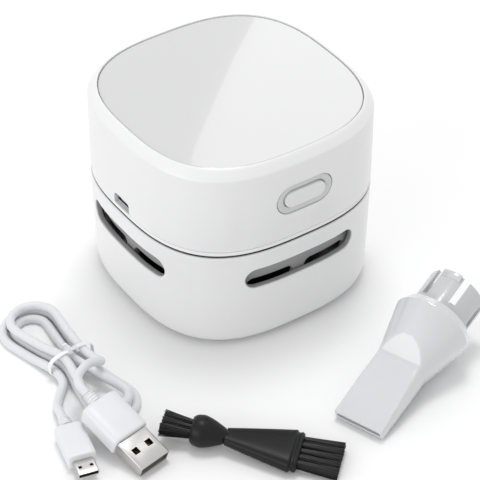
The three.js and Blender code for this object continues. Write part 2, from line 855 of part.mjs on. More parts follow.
// Motor: can, end cap, shaft and the clamp that two screws hold to the dome
const motorBottom = domeTop + seat;
const motorTop = panelBottom - motorHeadroom - 2 * leadRadius - seat - endcapThick - seat;
const shaftBottom = hubBottom + seat;
const shaftTop = shaftBottom + shaftLength;
addPart('motor_can', cut(
  disc(motorRadius, motorBottom, motorTop, roundSteps),
  disc(screwHole, motorBottom - overrun, shaftTop + seat),
), steel, vacuum);
addPart('motor_end_cap', disc(
  motorRadius - endcapInset, motorTop + seat, motorTop + seat + endcapThick, roundSteps,
), darkPlastic, vacuum);
addPart('motor_shaft', disc(shaftRadius, shaftBottom, shaftTop), steel, vacuum);
const clampInner = motorRadius + seat;
const earBottom = clampBossTop + seat;
const earTop = earBottom + clampEarTall;
const earReach = clampBossPlace + clampBossRadius;
const clampShape = cut(
  join(
    disc(clampInner + clampWall, motorBottom, motorBottom + clampTall, roundSteps),
    box(-earReach, earReach, -clampBossRadius, clampBossRadius, earBottom, earTop),
  ),
  disc(clampInner, motorBottom - overrun, motorBottom + clampTall + overrun, roundSteps),
  ...clampPlaces.map(([x, y]) => disc(screwHole, earBottom - overrun, earTop + overrun).translate(x, y, 0)),
);
addPart('motor_clamp', clampShape, frameBlack, vacuum);
clampPlaces.forEach(([x, y], i) => {
  const piece = addPart(`motor_screw_${i + 1}`, screw(screwLength), steel, vacuum);
  piece.rotation.set(Math.PI, 0, 0);
  piece.position.set(x, y, earTop + seat);
});

// Upper housing: straight walls, a bevelled rim, the panel's ledge, posts, dish and notch
const rimShares = [[0, 1], [0.35, 0.5], [0.75, 0.14], [0.92, 0]];
const outerUpper = softStack([
  [halfWidth, shellBottom],
  ...rimShares.map(([inset, drop]) => [halfWidth - inset * rimChamfer, bodyHeight - drop * rimChamferTall]),
]);
const recessHalf = halfWidth - panelInset;
const cavity = softStack([
  [halfWidth - wall, shellBottom - overrun],
  [halfWidth - wall, ledgeFace - ledgeDeep],
]);
const ledgeOpening = softStack([
  [recessHalf - ledgeReach, ledgeFace - ledgeDeep - overrun],
  [recessHalf - ledgeReach, ledgeFace + overrun],
]);
const panelRecess = softStack([[recessHalf, ledgeFace], [recessHalf, bodyHeight + overrun]]);
const postTop = shellBottom + postTall;
const cornerWall = (halfWidth - wall / 2) * Math.SQRT2 * 2 ** (-1 / cornerPower);
const posts = postPlaces.map(([x, y]) => {
  const web = box(
    postPlace * Math.SQRT2, cornerWall, -postWebWide / 2, postWebWide / 2, shellBottom, postTop,
  );
  const post = disc(postRadius, shellBottom, postTop).translate(x, y, 0);
  return join(post, web.rotateZ(Math.atan2(y, x)));
});
const postBores = postPlaces.map(([x, y]) => disc(
  screwHole, shellBottom - overrun, postTop - postRoof,
).translate(x, y, 0));
const faceFront = -halfWidth - overrun;
const dishCut = pill(dishLength, dishTall, faceFront, -halfWidth + dishDeep).translate(0, 0, buttonMiddle);
const buttonHole = pill(
  buttonLength + 2 * slide, buttonTall + 2 * slide, faceFront, -halfWidth + 2 * wall,
).translate(0, 0, buttonMiddle);
const notchCut = roundPlate(notchWide, 2 * notchTall, notchRound, faceFront, -halfWidth + 2 * wall)
  .rotateX(Math.PI / 2).rotateZ(Math.PI / 2).translate(0, 0, shellBottom);
addPart('upper_housing', cut(
  join(cut(outerUpper, cavity, ledgeOpening, panelRecess), ...posts),
  ...postBores, dishCut, buttonHole, notchCut,
), whiteShell, vacuum);

// Glossy top panel in its recess
const panelHalf = recessHalf - seat;
addPart('top_panel', softStack([
  [panelHalf, panelBottom],
  [panelHalf, panelTop - panelBevel],
  [panelHalf - panelBevel, panelTop],
]), panelGloss, vacuum);

// Power button: the dish round it, the button with its flange, the tact switch and its board
const bezelBack = -halfWidth + dishDeep - seat;
const bezelFront = bezelBack - bezelThick;
addPart('button_bezel', cut(
  pill(dishLength - 2 * seat, dishTall - 2 * seat, bezelFront, bezelBack),
  pill(buttonLength + 2 * slide, buttonTall + 2 * slide, bezelFront - overrun, bezelBack + overrun),
), dishGrey, vacuum).position.set(0, 0, buttonMiddle);
const flangeFront = -halfWidth + wall + seat;
const flangeBack = flangeFront + buttonFlangeThick;
addPart('power_button', join(
  pill(buttonLength, buttonTall, -halfWidth - buttonProud, flangeBack),
  pill(buttonLength + 2 * buttonFlange, buttonTall + 2 * buttonFlange, flangeFront, flangeBack),
), buttonWhite, vacuum).position.set(0, 0, buttonMiddle);
const plungerTip = flangeBack + buttonTravel + seat;
const switchFront = plungerTip + plungerTall;
const plunger = disc(plungerRadius, 0, plungerTall + overrun).rotateX(-Math.PI / 2);
addPart('tact_switch', join(
  boxAt(0, switchFront + switchDeep / 2, switchSize, switchDeep, -switchSize / 2, switchSize / 2),
  plunger.translate(0, plungerTip, 0),
), chipBlack, vacuum).position.set(0, 0, buttonMiddle);
addPart('switch_board', box(
  -switchBoardWide / 2, switchBoardWide / 2, switchBoardFront, switchBoardBack,
  plateTop + seat, plateTop + seat + switchBoardTall,
), boardGreen, vacuum);

// Control board with the charging socket, the charge chip and a capacitor
const boardLeft = -halfWidth + wall + boardClear;
const boardBottom = plateTop + seat;
const boardTop = boardBottom + boardThick;
addPart('control_board', box(
  boardLeft, boardLeft + boardWide, -boardLong / 2, boardLong / 2, boardBottom, boardTop,
), boardGreen, vacuum);
const socketFront = -halfWidth + socketInset;
const socketBottom = boardTop + seat;
const socketBack = socketFront + socketDeep;
const socketBody = cut(
  box(socketFront, socketBack, -socketWide / 2, socketWide / 2, socketBottom, socketBottom + socketTall),
  box(
    socketFront - overrun, socketBack - socketShell,
    socketShell - socketWide / 2, socketWide / 2 - socketShell,
    socketBottom + socketShell, socketBottom + socketTall - socketShell,
  ),
);
const socketMiddle = socketBottom + socketTall / 2;
const socketTab = box(
  socketFront + socketShell, socketBack - socketShell / 2,
  -socketWide / 4, socketWide / 4, socketMiddle - socketTongue / 2, socketMiddle + socketTongue / 2,
);
addPart('charging_socket', join(socketBody, socketTab), steel, vacuum);
const chipX = boardLeft + boardWide - chipWide;
const chipY = boardLong / 4;
addPart('charge_chip', boxAt(chipX, chipY, chipWide, chipLong, boardTop + seat, boardTop + seat + chipTall),
  chipBlack, vacuum);
addPart('capacitor', disc(capacitorRadius, boardTop + seat, boardTop + seat + capacitorTall),
  capacitorBlue, vacuum).position.set(chipX, -chipY, 0);

// Battery cell in its cradle, with a spring-brass terminal at each end
const cradleBottom = domeTop + seat;
const cellPlace = clampInner + clampWall + cradleGap + cradleWide / 2;
const cellMiddle = cradleBottom + cradleFloor + seat + cellRadius;
const cellHalf = cellLength / 2;
const terminalFace = cellHalf + nippleTall + seat;
const cradleInner = terminalFace + terminalThick + seat;
const cradleOuter = cradleInner + cradleEnd;
const cellBody = join(
  disc(cellRadius, -cellHalf, cellHalf, roundSteps).rotateY(Math.PI / 2),
  disc(nippleRadius, cellHalf - overrun, cellHalf + nippleTall).rotateY(Math.PI / 2),
);
addPart('battery_cell', cellBody, cellBlue, vacuum).position.set(0, cellPlace, cellMiddle);
const cradleLegs = [-1, 1].map((side) => boxAt(
  side * (cellHalf - cradleLeg), cellPlace + cradleWide / 2 - cradleLeg / 2, cradleLeg, cradleLeg,
  plateTop + seat, cradleBottom + cradleFloor / 2,
));
addPart('battery_cradle', cut(
  join(
    box(-cradleOuter, cradleOuter, cellPlace - cradleWide / 2, cellPlace + cradleWide / 2,
      cradleBottom, cradleBottom + cradleTall),
    ...cradleLegs,
  ),
  disc(cellRadius + seat, -cradleInner, cradleInner, roundSteps).rotateY(Math.PI / 2)
    .translate(0, cellPlace, cellMiddle),
), frameBlack, vacuum);
for (const [name, side] of [['battery_terminal_plus', 1], ['battery_terminal_minus', -1]]) {
  const near = side > 0 ? terminalFace : -cradleInner + seat;
  const plate = box(
    near, near + terminalThick, -terminalSize / 2, terminalSize / 2, -terminalSize / 2, terminalSize / 2,
  );
  addPart(name, plate, brass, vacuum).position.set(0, cellPlace, cellMiddle);
}

// Leads: battery to board and motor to board, each clear of what it passes
const leadEnd = boardTop + seat + leadRadius;
const leadTop = motorTop + 2 * seat + endcapThick + leadRadius;
const batteryMinus = -(cradleOuter + 2 * seat + leadRadius);
const batteryPlus = -batteryMinus;
const boardRight = boardLeft + boardWide;
function addLead(name, points, material) {
  addPart(name, tube(points, leadRadius, leadSides, leadSteps), material, vacuum);
}
addLead('battery_lead_black', [
  [batteryMinus, cellPlace, cellMiddle],
  [batteryMinus - leadBow, cellPlace - leadBow, cellMiddle - 2 * leadBow],
  [boardRight - leadBow, chipY + chipLong, leadEnd + 2 * leadBow],
  [boardRight - leadBow, chipY + chipLong, leadEnd],
], leadBlack);
addLead('battery_lead_red', [
  [batteryPlus, cellPlace, cellMiddle],
  [batteryPlus + leadBow / 2, cellPlace - 2 * leadBow, cellMiddle],
  [motorRadius + 3 * leadBow, 0, cellMiddle],
  [motorRadius, -motorRadius - 2 * leadBow, cellMiddle],
  [-motorRadius, -motorRadius - 2 * leadBow, cellMiddle],
  [boardRight, -chipY - 2 * leadBow, leadEnd + 2 * leadBow],
  [boardRight - leadBow, -chipY - 2 * leadBow, leadEnd],
], leadRed);
const motorLeads = [['motor_lead_red', 1, leadRed], ['motor_lead_black', -1, leadBlack]];
for (const [name, side, material] of motorLeads) {
  addLead(name, [
    [-motorRadius / 2, side * motorRadius / 4, leadTop],
    [-motorRadius - leadBow, side * motorRadius / 4, leadTop - leadBow / 4],
    [boardRight - leadBow, side * motorRadius / 6, cellMiddle],
    [boardRight - leadBow, side * motorRadius / 8, leadEnd],
  ], material);
}

// Crevice nozzle: a flat duct whose ramps open into a cone, hollow from mouth to mouth
const nozzle = new THREE.Group();
const tipHalf = tipTall / 2;
const ductHalf = ductTall / 2;
const rampEnd = ductLength + rampLength;
const widening = (coneRadius - ductRadius) / (coneLength - ductLength);
const rampHalf = ductRadius + widening * rampLength;
// It rests on its tip and on whichever of the ramp's end and the cone's rim hangs lower
const nozzleSlope = Math.max((rampHalf - tipHalf) / rampEnd, (coneRadius - tipHalf) / coneLength);
const nozzleTilt = Math.atan(nozzleSlope);
nozzle.position.set(vacuumX + nozzleX, vacuumY + nozzleY, tipHalf * Math.cos(nozzleTilt));
nozzle.rotation.set(0, -nozzleTilt, nozzleTurn * rad, 'ZYX');
set.add(nozzle);

// A round section with its top and bottom cut flat
function flatRound(radius, half, x) {
  return halfOval(radius, radius, roundPower, x).map((point) => (
    new THREE.Vector3(x, point.y, Math.min(half, Math.max(-half, point.z)))
  ));
}
function nozzleRings(inset, start, end) {
  const rings = [flatRound(ductRadius - inset, tipHalf - inset, start)];
  for (let i = 0; i <= rampSteps; i += 1) {
    const along = i / rampSteps * rampLength;
    const half = ductHalf + i / rampSteps * (rampHalf - ductHalf);
    rings.push(flatRound(ductRadius + widening * along - inset, half - inset, ductLength + along));
  }
  rings.push(flatRound(coneRadius - inset, coneRadius, coneLength));
  if (end > 0) rings.push(flatRound(coneMouthRadius - inset, coneRadius, coneLength + end));
  return rings;
}
const collarStart = coneLength + coneMouthLength - collarSeat;
const collarHole = collarRadius + seat;
addPart('nozzle_body', cut(
  loft(nozzleRings(0, 0, coneMouthLength)),
  loft(nozzleRings(nozzleWall, -overrun, 0)),
  loft([
    halfOval(collarHole, collarHole, roundPower, coneLength - seat),
    halfOval(collarHole, collarHole, roundPower, coneLength + coneMouthLength + overrun),
  ]),
), nozzleClear, nozzle);

// Snap collar: a ring split into fingers, one with a raised lip
const collarEnd = collarStart + collarLength;
function alongX(radius, x0, x1) {
  return disc(radius, x0, x1, roundSteps).rotateY(Math.PI / 2);
}
const fingerCuts = [];
for (let i = 0; i < fingerCount; i += 1) {
  const gap = box(
    collarStart + collarBase, collarEnd + overrun, -fingerGap / 2, fingerGap / 2, 0, 2 * collarRadius,
  );
  fingerCuts.push(gap.rotateX((i + 0.5) * 2 * Math.PI / fingerCount));
}
const snapLip = boxAt(
  collarEnd - snapLong, 0, snapLong, snapWide, collarRadius - collarWall / 2, collarRadius + snapTall,
);
addPart('nozzle_collar', cut(
  join(alongX(collarRadius, collarStart, collarEnd), snapLip),
  alongX(collarRadius - collarWall, collarStart - overrun, collarEnd + overrun),
  ...fingerCuts,
), collarGrey, nozzle);

// Cleaning brush: a drop-shaped ferrule, a flat flared handle and a tuft block in each end
const brush = new THREE.Group();
const lipHalf = shoulderTall / 2;
const ferruleCrown = ferruleStart + (ferruleEnd - ferruleStart) * crownShare;
const brushTilt = Math.atan((ferruleRadius - lipHalf) / (shoulderPlace - ferruleCrown));
const brushRise = ferruleRadius * Math.cos(brushTilt) + ferruleCrown * Math.sin(brushTilt);
brush.position.set(vacuumX + brushX, vacuumY + brushY, brushRise);
brush.rotation.set(0, brushTilt, brushTurn * rad, 'ZYX');
set.add(brush);
// Each row: place along the ferrule and its radius, as shares
const ferruleShares = [
  [0, 0.8], [0.05, 0.91], [0.14, 0.98], [crownShare, 1], [0.45, 0.86], [0.7, 0.57], [1, 0.2],
];
const ferrule = loft(ferruleShares.map(([along, reach]) => {
  const radius = reach * ferruleRadius;
  const x = ferruleStart + along * (ferruleEnd - ferruleStart);
  return halfOval(radius, radius, roundPower, x, handleSteps);
}));
const lipPlace = shoulderPlace + lipLength;
const handle = loft([
  [neckWide / 2, neckTall / 2, neckPlace],
  [shoulderWide / 2, lipHalf, shoulderPlace],
  [shoulderWide / 2 - lipGroove, lipHalf - lipGroove, shoulderPlace + lipLength / 4],
  [shoulderWide / 2 - lipGroove, lipHalf - lipGroove, shoulderPlace + lipLength / 2],
  [shoulderWide / 2 - lipInset, lipHalf - lipInset, lipPlace],
].map(([wide, tall, x]) => halfOval(wide, tall, handlePower, x, handleSteps)));
const wideBlock = { wide: wideTufts * widePitch + seat, tall: tuftTall + seat };
const narrowBlock = { wide: narrowTufts * narrowPitch + seat, tall: narrowTuftTall + seat };
function socket(block, x0, x1) {
  return boxAt(
    (x0 + x1) / 2, 0, x1 - x0, block.wide + 2 * seat, -block.tall / 2 - seat, block.tall / 2 + seat,
  );
}
addPart('brush_handle', cut(
  join(ferrule, handle),
  socket(wideBlock, lipPlace - socketDepth, lipPlace + overrun),
  socket(narrowBlock, ferruleStart - overrun, ferruleStart + socketDepth),
), brushBlack, brush);

// Tufts: rows of three-sided strands that spread from a block seated in the handle
function strand(base, tip) {
  const rings = [base, tip].map((middle) => {
    const ring = [];
    for (let i = 0; i < strandSides; i += 1) {
      const turn = 2 * Math.PI * i / strandSides;
      ring.push(new THREE.Vector3(
        middle.x, middle.y + strandRadius * Math.cos(turn), middle.z + strandRadius * Math.sin(turn),
      ));
    }
    return ring;
  });
  return loft(rings);
}

function tuftBlock({ block, count, pitch, wide, tall, root, tip, splay }) {
  const toward = Math.sign(tip - root);
  const face = root + toward * tuftBacking;
  const strands = [];
  for (let tuft = 0; tuft < count; tuft += 1) {
    const middle = (tuft - (count - 1) / 2) * pitch;
    const columns = Math.floor(wide / strandPitch);
    const rows = Math.floor(tall / strandPitch);
    for (let column = 0; column < columns; column += 1) {
      for (let row = 0; row < rows; row += 1) {
        const y = (column - (columns - 1) / 2) * strandPitch;
        const z = (row - (rows - 1) / 2) * strandPitch;
        if ((2 * y / wide) ** 2 + (2 * z / tall) ** 2 > 1) continue;
        const short = tipUneven * ((column * 7 + row * 5 + tuft * 3) % unevenSteps) / unevenSteps;
        strands.push(strand(
          new THREE.Vector3(face - toward * tuftBacking / 2, middle + y, z),
          new THREE.Vector3(tip - toward * short, splay * (middle + y), splay * z),
        ));
      }
    }
  }
  const backing = boxAt((root + face) / 2, 0, tuftBacking, block.wide, -block.tall / 2, block.tall / 2);
  return { solid: join(backing, ...strands), strands: strands.length };
}
const wideBristles = tuftBlock({
  block: wideBlock, count: wideTufts, pitch: widePitch, wide: tuftWide, tall: tuftTall,
  root: lipPlace - socketDepth + seat, tip: brushLength, splay: wideSplayShare,
});
const narrowBristles = tuftBlock({
  block: narrowBlock, count: narrowTufts, pitch: narrowPitch, wide: narrowTuftWide, tall: narrowTuftTall,
  root: ferruleStart + socketDepth - seat, tip: 0, splay: narrowSplayShare,
});
addPart('brush_wide_bristles', wideBristles.solid, bristleBlack, brush);
addPart('brush_narrow_bristles', narrowBristles.solid, bristleBlack, brush);
console.log(`strands: ${wideBristles.strands} wide, ${narrowBristles.strands} narrow`);

// Charging cable. The hank's centre line, for a count of turns from the waist on the left run:
// it spirals in on the lower layer, climbs along a right run and spirals out on the upper one.
const cable = new THREE.Group();
cable.position.set(vacuumX, vacuumY, 0);
set.add(cable);
const lowerLayer = cordRadius - cordFlat;
const waistY = (hankFar + hankNear) / 2;
const runHalf = (hankFar - hankNear) / 2;
const foldShare = 0.5 - 2 * runShare;
function hankPoint(turns) {
  const part = ((turns % 1) + 1) % 1;
  const inset = cordPitch * (turns < hankReverse ? turns : 2 * hankReverse - turns);
  const middle = Math.round(2 * part) / 2;
  const along = (middle === 0.5 ? 0.5 - part : part - middle) / runShare;
  let u = along * runHalf;
  let v = foldRadius - inset;
  let drawn = 0;
  if (Math.abs(along) < 1) {
    drawn = (1 + Math.cos(Math.PI * along)) / 2;
    v = (middle === 0.5 ? 1 : -1) * (v - drawn * (foldRadius - waistRadius));
  } else {
    const far = part < 0.5;
    const turn = Math.PI * (part - (far ? 0 : 0.5) - runShare) / foldShare;
    u = (far ? 1 : -1) * (runHalf + v * Math.sin(turn));
    v = (far ? -1 : 1) * v * Math.cos(turn);
  }
  const climbed = Math.min(1, Math.max(0, (turns - hankReverse) / (2 * runShare) + 0.5));
  const layer = cordPitch * climbed * climbed * (3 - 2 * climbed);
  const lean = hankTurn * rad;
  return new THREE.Vector3(
    hankX + v * Math.cos(lean) - u * Math.sin(lean),
    waistY + v * Math.sin(lean) + u * Math.cos(lean),
    lowerLayer + layer + tieLift * drawn ** 3,
  );
}
const hankPoints = [];
hankPoints.push(hankPoint(-tailSteps / loopSteps));
for (let i = 0; i <= hankTurns * loopSteps; i += 1) hankPoints.push(hankPoint(i / loopSteps));
hankPoints.push(hankPoint(hankTurns + tailSteps / loopSteps));

// The plugs: axes run from the cord's end to the tip
const usb = new THREE.Group();
const usbLength = moldLength + shellLength;
const tipLift = shellTall / 2 * Math.cos(usbDrop * rad);
usb.position.set(vacuumX + usbX, vacuumY + usbY, tipLift + usbLength * Math.sin(usbDrop * rad));
usb.rotation.set(0, usbDrop * rad, usbTurn * rad, 'ZYX');
set.add(usb);
const micro = new THREE.Group();
micro.position.set(vacuumX + microX, vacuumY + microY, microMoldTall / 2);
micro.rotation.set(0, 0, microTurn * rad);
set.add(micro);
function plugEnd(group, back) {
  group.updateMatrixWorld(true);
  return cable.worldToLocal(group.localToWorld(new THREE.Vector3(-back, 0, 0)));
}
function mold(long, wide, tall, relief) {
  const body = loft([
    halfOval(wide / 2 - moldTaper, tall / 2 - moldTaper, plugPower, 0, plugSteps),
    halfOval(wide / 2, tall / 2, plugPower, moldTaper, plugSteps),
    halfOval(wide / 2, tall / 2, plugPower, long, plugSteps),
  ]);
  const neck = loft([
    halfOval(reliefRadius - moldTaper / 2, reliefRadius - moldTaper / 2, roundPower, -relief, plugSteps),
    halfOval(reliefRadius, reliefRadius, roundPower, moldTaper, plugSteps),
  ]);
  return join(body, neck);
}
function shellSleeve(long, wide, tall, start) {
  const half = [wide / 2, tall / 2];
  return cut(
    box(start, start + long, -half[0], half[0], -half[1], half[1]),
    box(start + shellThick, start + long + overrun, shellThick - half[0], half[0] - shellThick,
      shellThick - half[1], half[1] - shellThick),
  );
}
addPart('usb_a_mold', mold(moldLength, moldWide, moldTall, reliefLength), cordWhite, usb);
const usbWindows = [-1, 1].map((side) => boxAt(
  moldLength + shellWindowPlace, side * shellWindowPitch / 2, shellWindow, shellWindow, 0, shellTall,
));
const usbTongue = box(
  moldLength + seat, moldLength + shellLength - shellThick, -shellWide / 2 + shellThick / 2,
  shellWide / 2 - shellThick / 2, -shellTall / 2 + shellThick / 2, -shellTall / 2 + tongueThick,
);
addPart('usb_a_shell', join(
  cut(shellSleeve(shellLength - seat, shellWide, shellTall, moldLength + seat), ...usbWindows), usbTongue,
), shellSteel, usb);
const microMold = mold(microMoldLength, microMoldWide, microMoldTall, reliefLength);
addPart('micro_usb_mold', microMold, cordWhite, micro);
addPart('micro_usb_shell', shellSleeve(
  microShellLength, microShellWide, microShellTall, microMoldLength + seat,
), shellSteel, micro);

// The cord, straight for one diameter where it meets each plug, cut flat where the hank lies
const microEnd = plugEnd(micro, reliefLength + seat);
const microLead = plugEnd(micro, reliefLength + seat + cordDiameter);
const usbEnd = plugEnd(usb, reliefLength + seat);
const usbLead = plugEnd(usb, reliefLength + seat + cordDiameter);
const cordLine = [
  microEnd,
  microLead,
  ...microTail.map(([x, y, z]) => new THREE.Vector3(x, y, z)),
  ...hankPoints,
  ...usbTail.map(([x, y, z]) => new THREE.Vector3(x, y, z)),
  usbLead,
  usbEnd,
];

function cordSolid(line, radius, sides) {
  const rings = [];
  line.forEach((point, i) => {
    const before = line[Math.max(0, i - 1)];
    const after = line[Math.min(line.length - 1, i + 1)];
    const ahead = after.clone().sub(before).normalize();
    const sideways = new THREE.Vector3().crossVectors(new THREE.Vector3(0, 0, 1), ahead).normalize();
    const upward = new THREE.Vector3().crossVectors(ahead, sideways);
    const ring = [];
    for (let k = 0; k < sides; k += 1) {
      const turn = 2 * Math.PI * (k + 0.5) / sides;
      ring.push(point.clone()
        .addScaledVector(sideways, radius * Math.cos(turn))
        .addScaledVector(upward, radius * Math.sin(turn)));
    }
    rings.push(ring);
  });
  return loft(rings);
}

// The least gap that the cord leaves to itself, measured between points of its centre line
function leastGap(line, diameter) {
  const curve = new THREE.CatmullRomCurve3(line);
  const count = line.length * 6;
  const points = curve.getSpacedPoints(count);
  const spacing = curve.getLength() / count;
  const skip = Math.ceil(gapSkip * diameter / spacing);
  let least = Infinity;
  for (let i = 0; i < points.length; i += 1) {
    for (let j = i + skip; j < points.length; j += 1) {
      const gap = points[i].distanceTo(points[j]) - diameter;
      least = Math.min(least, gap);
    }
  }
  console.log(`cord: ${curve.getLength().toFixed(1)} mm long, least gap to itself ${least.toFixed(2)} mm`);
}
leastGap(cordLine, cordDiameter);
const floorCut = box(
  hankX - 4 * foldRadius, hankX + 4 * foldRadius, hankNear - 4 * foldRadius, hankFar + 4 * foldRadius,
  -cordDiameter, 0,
);
addPart('cable_cord', cut(cordSolid(cordLine, cordRadius, cordSides), floorCut), cordWhite, cable);

// The tie round the waist
const tie = new THREE.Group();
tie.position.set(hankX, waistY, 0);
tie.rotation.set(0, 0, hankTurn * rad);
cable.add(tie);
const tieHalf = waistRadius + cordRadius + tieClear;
const tieTop = lowerLayer + tieLift + cordPitch + cordRadius + tieClear;
const tieBottom = tieThick;
addPart('cable_tie', cut(
  box(-tieHalf - tieThick, tieHalf + tieThick, -tieWide / 2, tieWide / 2, 0, tieTop + tieThick),
  box(-tieHalf, tieHalf, -tieWide, tieWide, tieBottom, tieTop),
), tieWhite, tie);

export default set;
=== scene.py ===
# Looks of the desktop mini vacuum cleaner set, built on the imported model.
import math
import random
from math import copysign, cos, hypot, pi, radians, sin
import bpy
import bmesh
from mathutils import Matrix, Vector


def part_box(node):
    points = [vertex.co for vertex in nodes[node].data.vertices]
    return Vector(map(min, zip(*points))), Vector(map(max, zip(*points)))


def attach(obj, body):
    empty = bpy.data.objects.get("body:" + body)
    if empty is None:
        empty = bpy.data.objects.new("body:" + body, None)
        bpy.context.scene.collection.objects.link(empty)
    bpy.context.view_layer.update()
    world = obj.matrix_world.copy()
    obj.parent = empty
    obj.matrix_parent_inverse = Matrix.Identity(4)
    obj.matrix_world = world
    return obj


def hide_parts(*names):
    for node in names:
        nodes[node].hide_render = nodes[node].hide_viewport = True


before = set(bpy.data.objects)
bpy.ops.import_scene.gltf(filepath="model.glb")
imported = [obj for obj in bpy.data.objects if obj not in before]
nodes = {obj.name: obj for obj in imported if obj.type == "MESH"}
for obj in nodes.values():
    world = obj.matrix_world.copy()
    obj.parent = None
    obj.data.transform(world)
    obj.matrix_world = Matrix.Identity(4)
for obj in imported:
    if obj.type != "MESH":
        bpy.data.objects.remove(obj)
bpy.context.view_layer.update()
scene = bpy.context.scene
scene.view_settings.view_transform = "Standard"
random.seed(7)

# Lengths are in millimetres, but for the camera's and the lamps', which are in metres.
MM = 0.001
VX, VY = 13.32, 33.35  # the body's middle on the table

# The square photograph, and the pixels of it that set the camera and the reflection on the panel
PICTURE = 480
BODY_PIXEL = (230.0, 180.4)
CARD_EDGE_PIXELS = ((243, 16), (196, 164))
PANEL_RIGHT_PIXEL = (360, 90)


def add_object(name, data):
    obj = bpy.data.objects.new(name, data)
    scene.collection.objects.link(obj)
    return obj


# Camera at the photograph's angle
def place_camera():
    azimuth, elevation, distance, height = radians(-34.24), radians(37.59), 0.7354, 0.035
    back = Vector((sin(azimuth) * cos(elevation), -cos(azimuth) * cos(elevation), sin(elevation)))
    data = bpy.data.cameras.new("camera")
    camera = add_object("camera", data)
    camera.location = Vector((VX * MM, VY * MM, height)) + back * distance
    camera.rotation_mode = "QUATERNION"
    camera.rotation_quaternion = (-back).to_track_quat("-Z", "Y")
    data.sensor_width = 36
    data.lens = 158.85
    data.shift_x = (PICTURE / 2 - BODY_PIXEL[0]) / PICTURE
    data.shift_y = (BODY_PIXEL[1] - PICTURE / 2) / PICTURE
    data.clip_start, data.clip_end = 0.02, 20
    scene.camera = camera
    return camera


camera = place_camera()


# Mesh helpers. A skin is a pair of lists, vertices and faces.
def new_object(name, skin, smooth=40, matrix=None):
    """A mesh of the skin, stored in metres, with edges sharper than smooth degrees left sharp."""
    verts, faces = skin
    mesh = bpy.data.meshes.new(name)
    points = [Vector(v) * MM for v in verts]
    if matrix is not None:
        points = [matrix @ p for p in points]
    mesh.from_pydata(points, [], faces)
    bm = bmesh.new()
    bm.from_mesh(mesh)
    merge = 2e-6
    bmesh.ops.remove_doubles(bm, verts=bm.verts, dist=merge)
    bmesh.ops.recalc_face_normals(bm, faces=bm.faces)
    bm.to_mesh(mesh)
    bm.free()
    obj = add_object(name, mesh)
    shade(obj, smooth)
    return obj


def shade(obj, angle):
    obj.data.polygons.foreach_set("use_smooth", [True] * len(obj.data.polygons))
    obj.data.set_sharp_from_angle(angle=radians(angle))
    obj.data.update()


def bevel(obj, width, segments, angle):
    mod = obj.modifiers.new("bevel", "BEVEL")
    mod.width = width * MM
    mod.segments = segments
    mod.limit_method = "ANGLE"
    mod.angle_limit = radians(angle)
    mod.harden_normals = True


def carve(obj, cutters):
    """Cuts the cutters out of the mesh for good, and removes them."""
    for cutter in cutters:
        mod = obj.modifiers.new("cut", "BOOLEAN")
        mod.operation, mod.object, mod.solver = "DIFFERENCE", cutter, "EXACT"
    bpy.context.view_layer.update()
    whole = obj.evaluated_get(bpy.context.evaluated_depsgraph_get())
    mesh = bpy.data.meshes.new_from_object(whole)
    obj.modifiers.clear()
    old, obj.data = obj.data, mesh
    bpy.data.meshes.remove(old)
    for cutter in cutters:
        data = cutter.data
        bpy.data.objects.remove(cutter)
        bpy.data.meshes.remove(data)


def add_rings(skin, rings, closed=True, start=False, end=False):
    """Adds the faces between equally long rings of points, and caps on the first or last."""
    verts, faces = skin
    base, count = len(verts), len(rings[0])
    for ring in rings:
        verts.extend(ring)
    for r in range(len(rings) - 1):
        for i in range(count if closed else count - 1):
            a, b = base + r * count + i, base + r * count + (i + 1) % count
            faces.append((a, b, b + count, a + count))
    if start:
        faces.append(tuple(range(base + count - 1, base - 1, -1)))
    if end:
        last = base + (len(rings) - 1) * count
        faces.append(tuple(range(last, last + count)))


def ring_mesh(name, rings, smooth=40, matrix=None, caps=False):
    skin = ([], [])
    add_rings(skin, rings, True, caps, caps)
    return new_object(name, skin, smooth, matrix)


def add_box(skin, x, y, z):
    """Adds a box from the lowest and highest x, y and z."""
    verts, faces = skin
    base = len(verts)
    verts.extend((a, b, c) for a in x for b in y for c in z)
    sides = ((0, 1, 3, 2), (4, 6, 7, 5), (0, 4, 5, 1), (2, 3, 7, 6), (0, 2, 6, 4), (1, 5, 7, 3))
    faces.extend(tuple(base + v for v in side) for side in sides)


def box_mesh(name, x, y, z, matrix=None):
    skin = ([], [])
    add_box(skin, x, y, z)
    return new_object(name, skin, 30, matrix)


def full_turn(steps):
    return [2 * pi * i / steps for i in range(steps)]


def add_turned(skin, profile, steps, x=0.0, y=0.0):
    """Adds a closed profile of (radius, z), turned about an upright line at x, y from the body's middle."""
    add_rings(skin, [[(VX + x + r * cos(a), VY + y + r * sin(a), z) for a in full_turn(steps)]
                     for r, z in profile + profile[:1]])


def turned_mesh(name, profile, steps, x=0.0, y=0.0):
    skin = ([], [])
    add_turned(skin, profile, steps, x, y)
    return new_object(name, skin, 35)


def signed_power(value, power):
    return copysign(abs(value) ** power, value)


def oval(wide, tall, power, x, steps=96):
    """A ring across the X axis: round for power 2, and squarer above."""
    return [(x, wide * signed_power(cos(a), 2 / power), tall * signed_power(sin(a), 2 / power))
            for a in full_turn(steps)]


def rounded_rectangle(wide, tall, corner, per):
    """Points (u, v) round a rectangle with round corners of per steps each."""
    points = []
    for quarter, (u, v) in enumerate(((1, 1), (-1, 1), (-1, -1), (1, -1))):
        for k in range(per + 1):
            a = pi / 2 * (quarter + k / per)
            points.append((u * (wide / 2 - corner) + corner * cos(a),
                           v * (tall / 2 - corner) + corner * sin(a)))
    return points


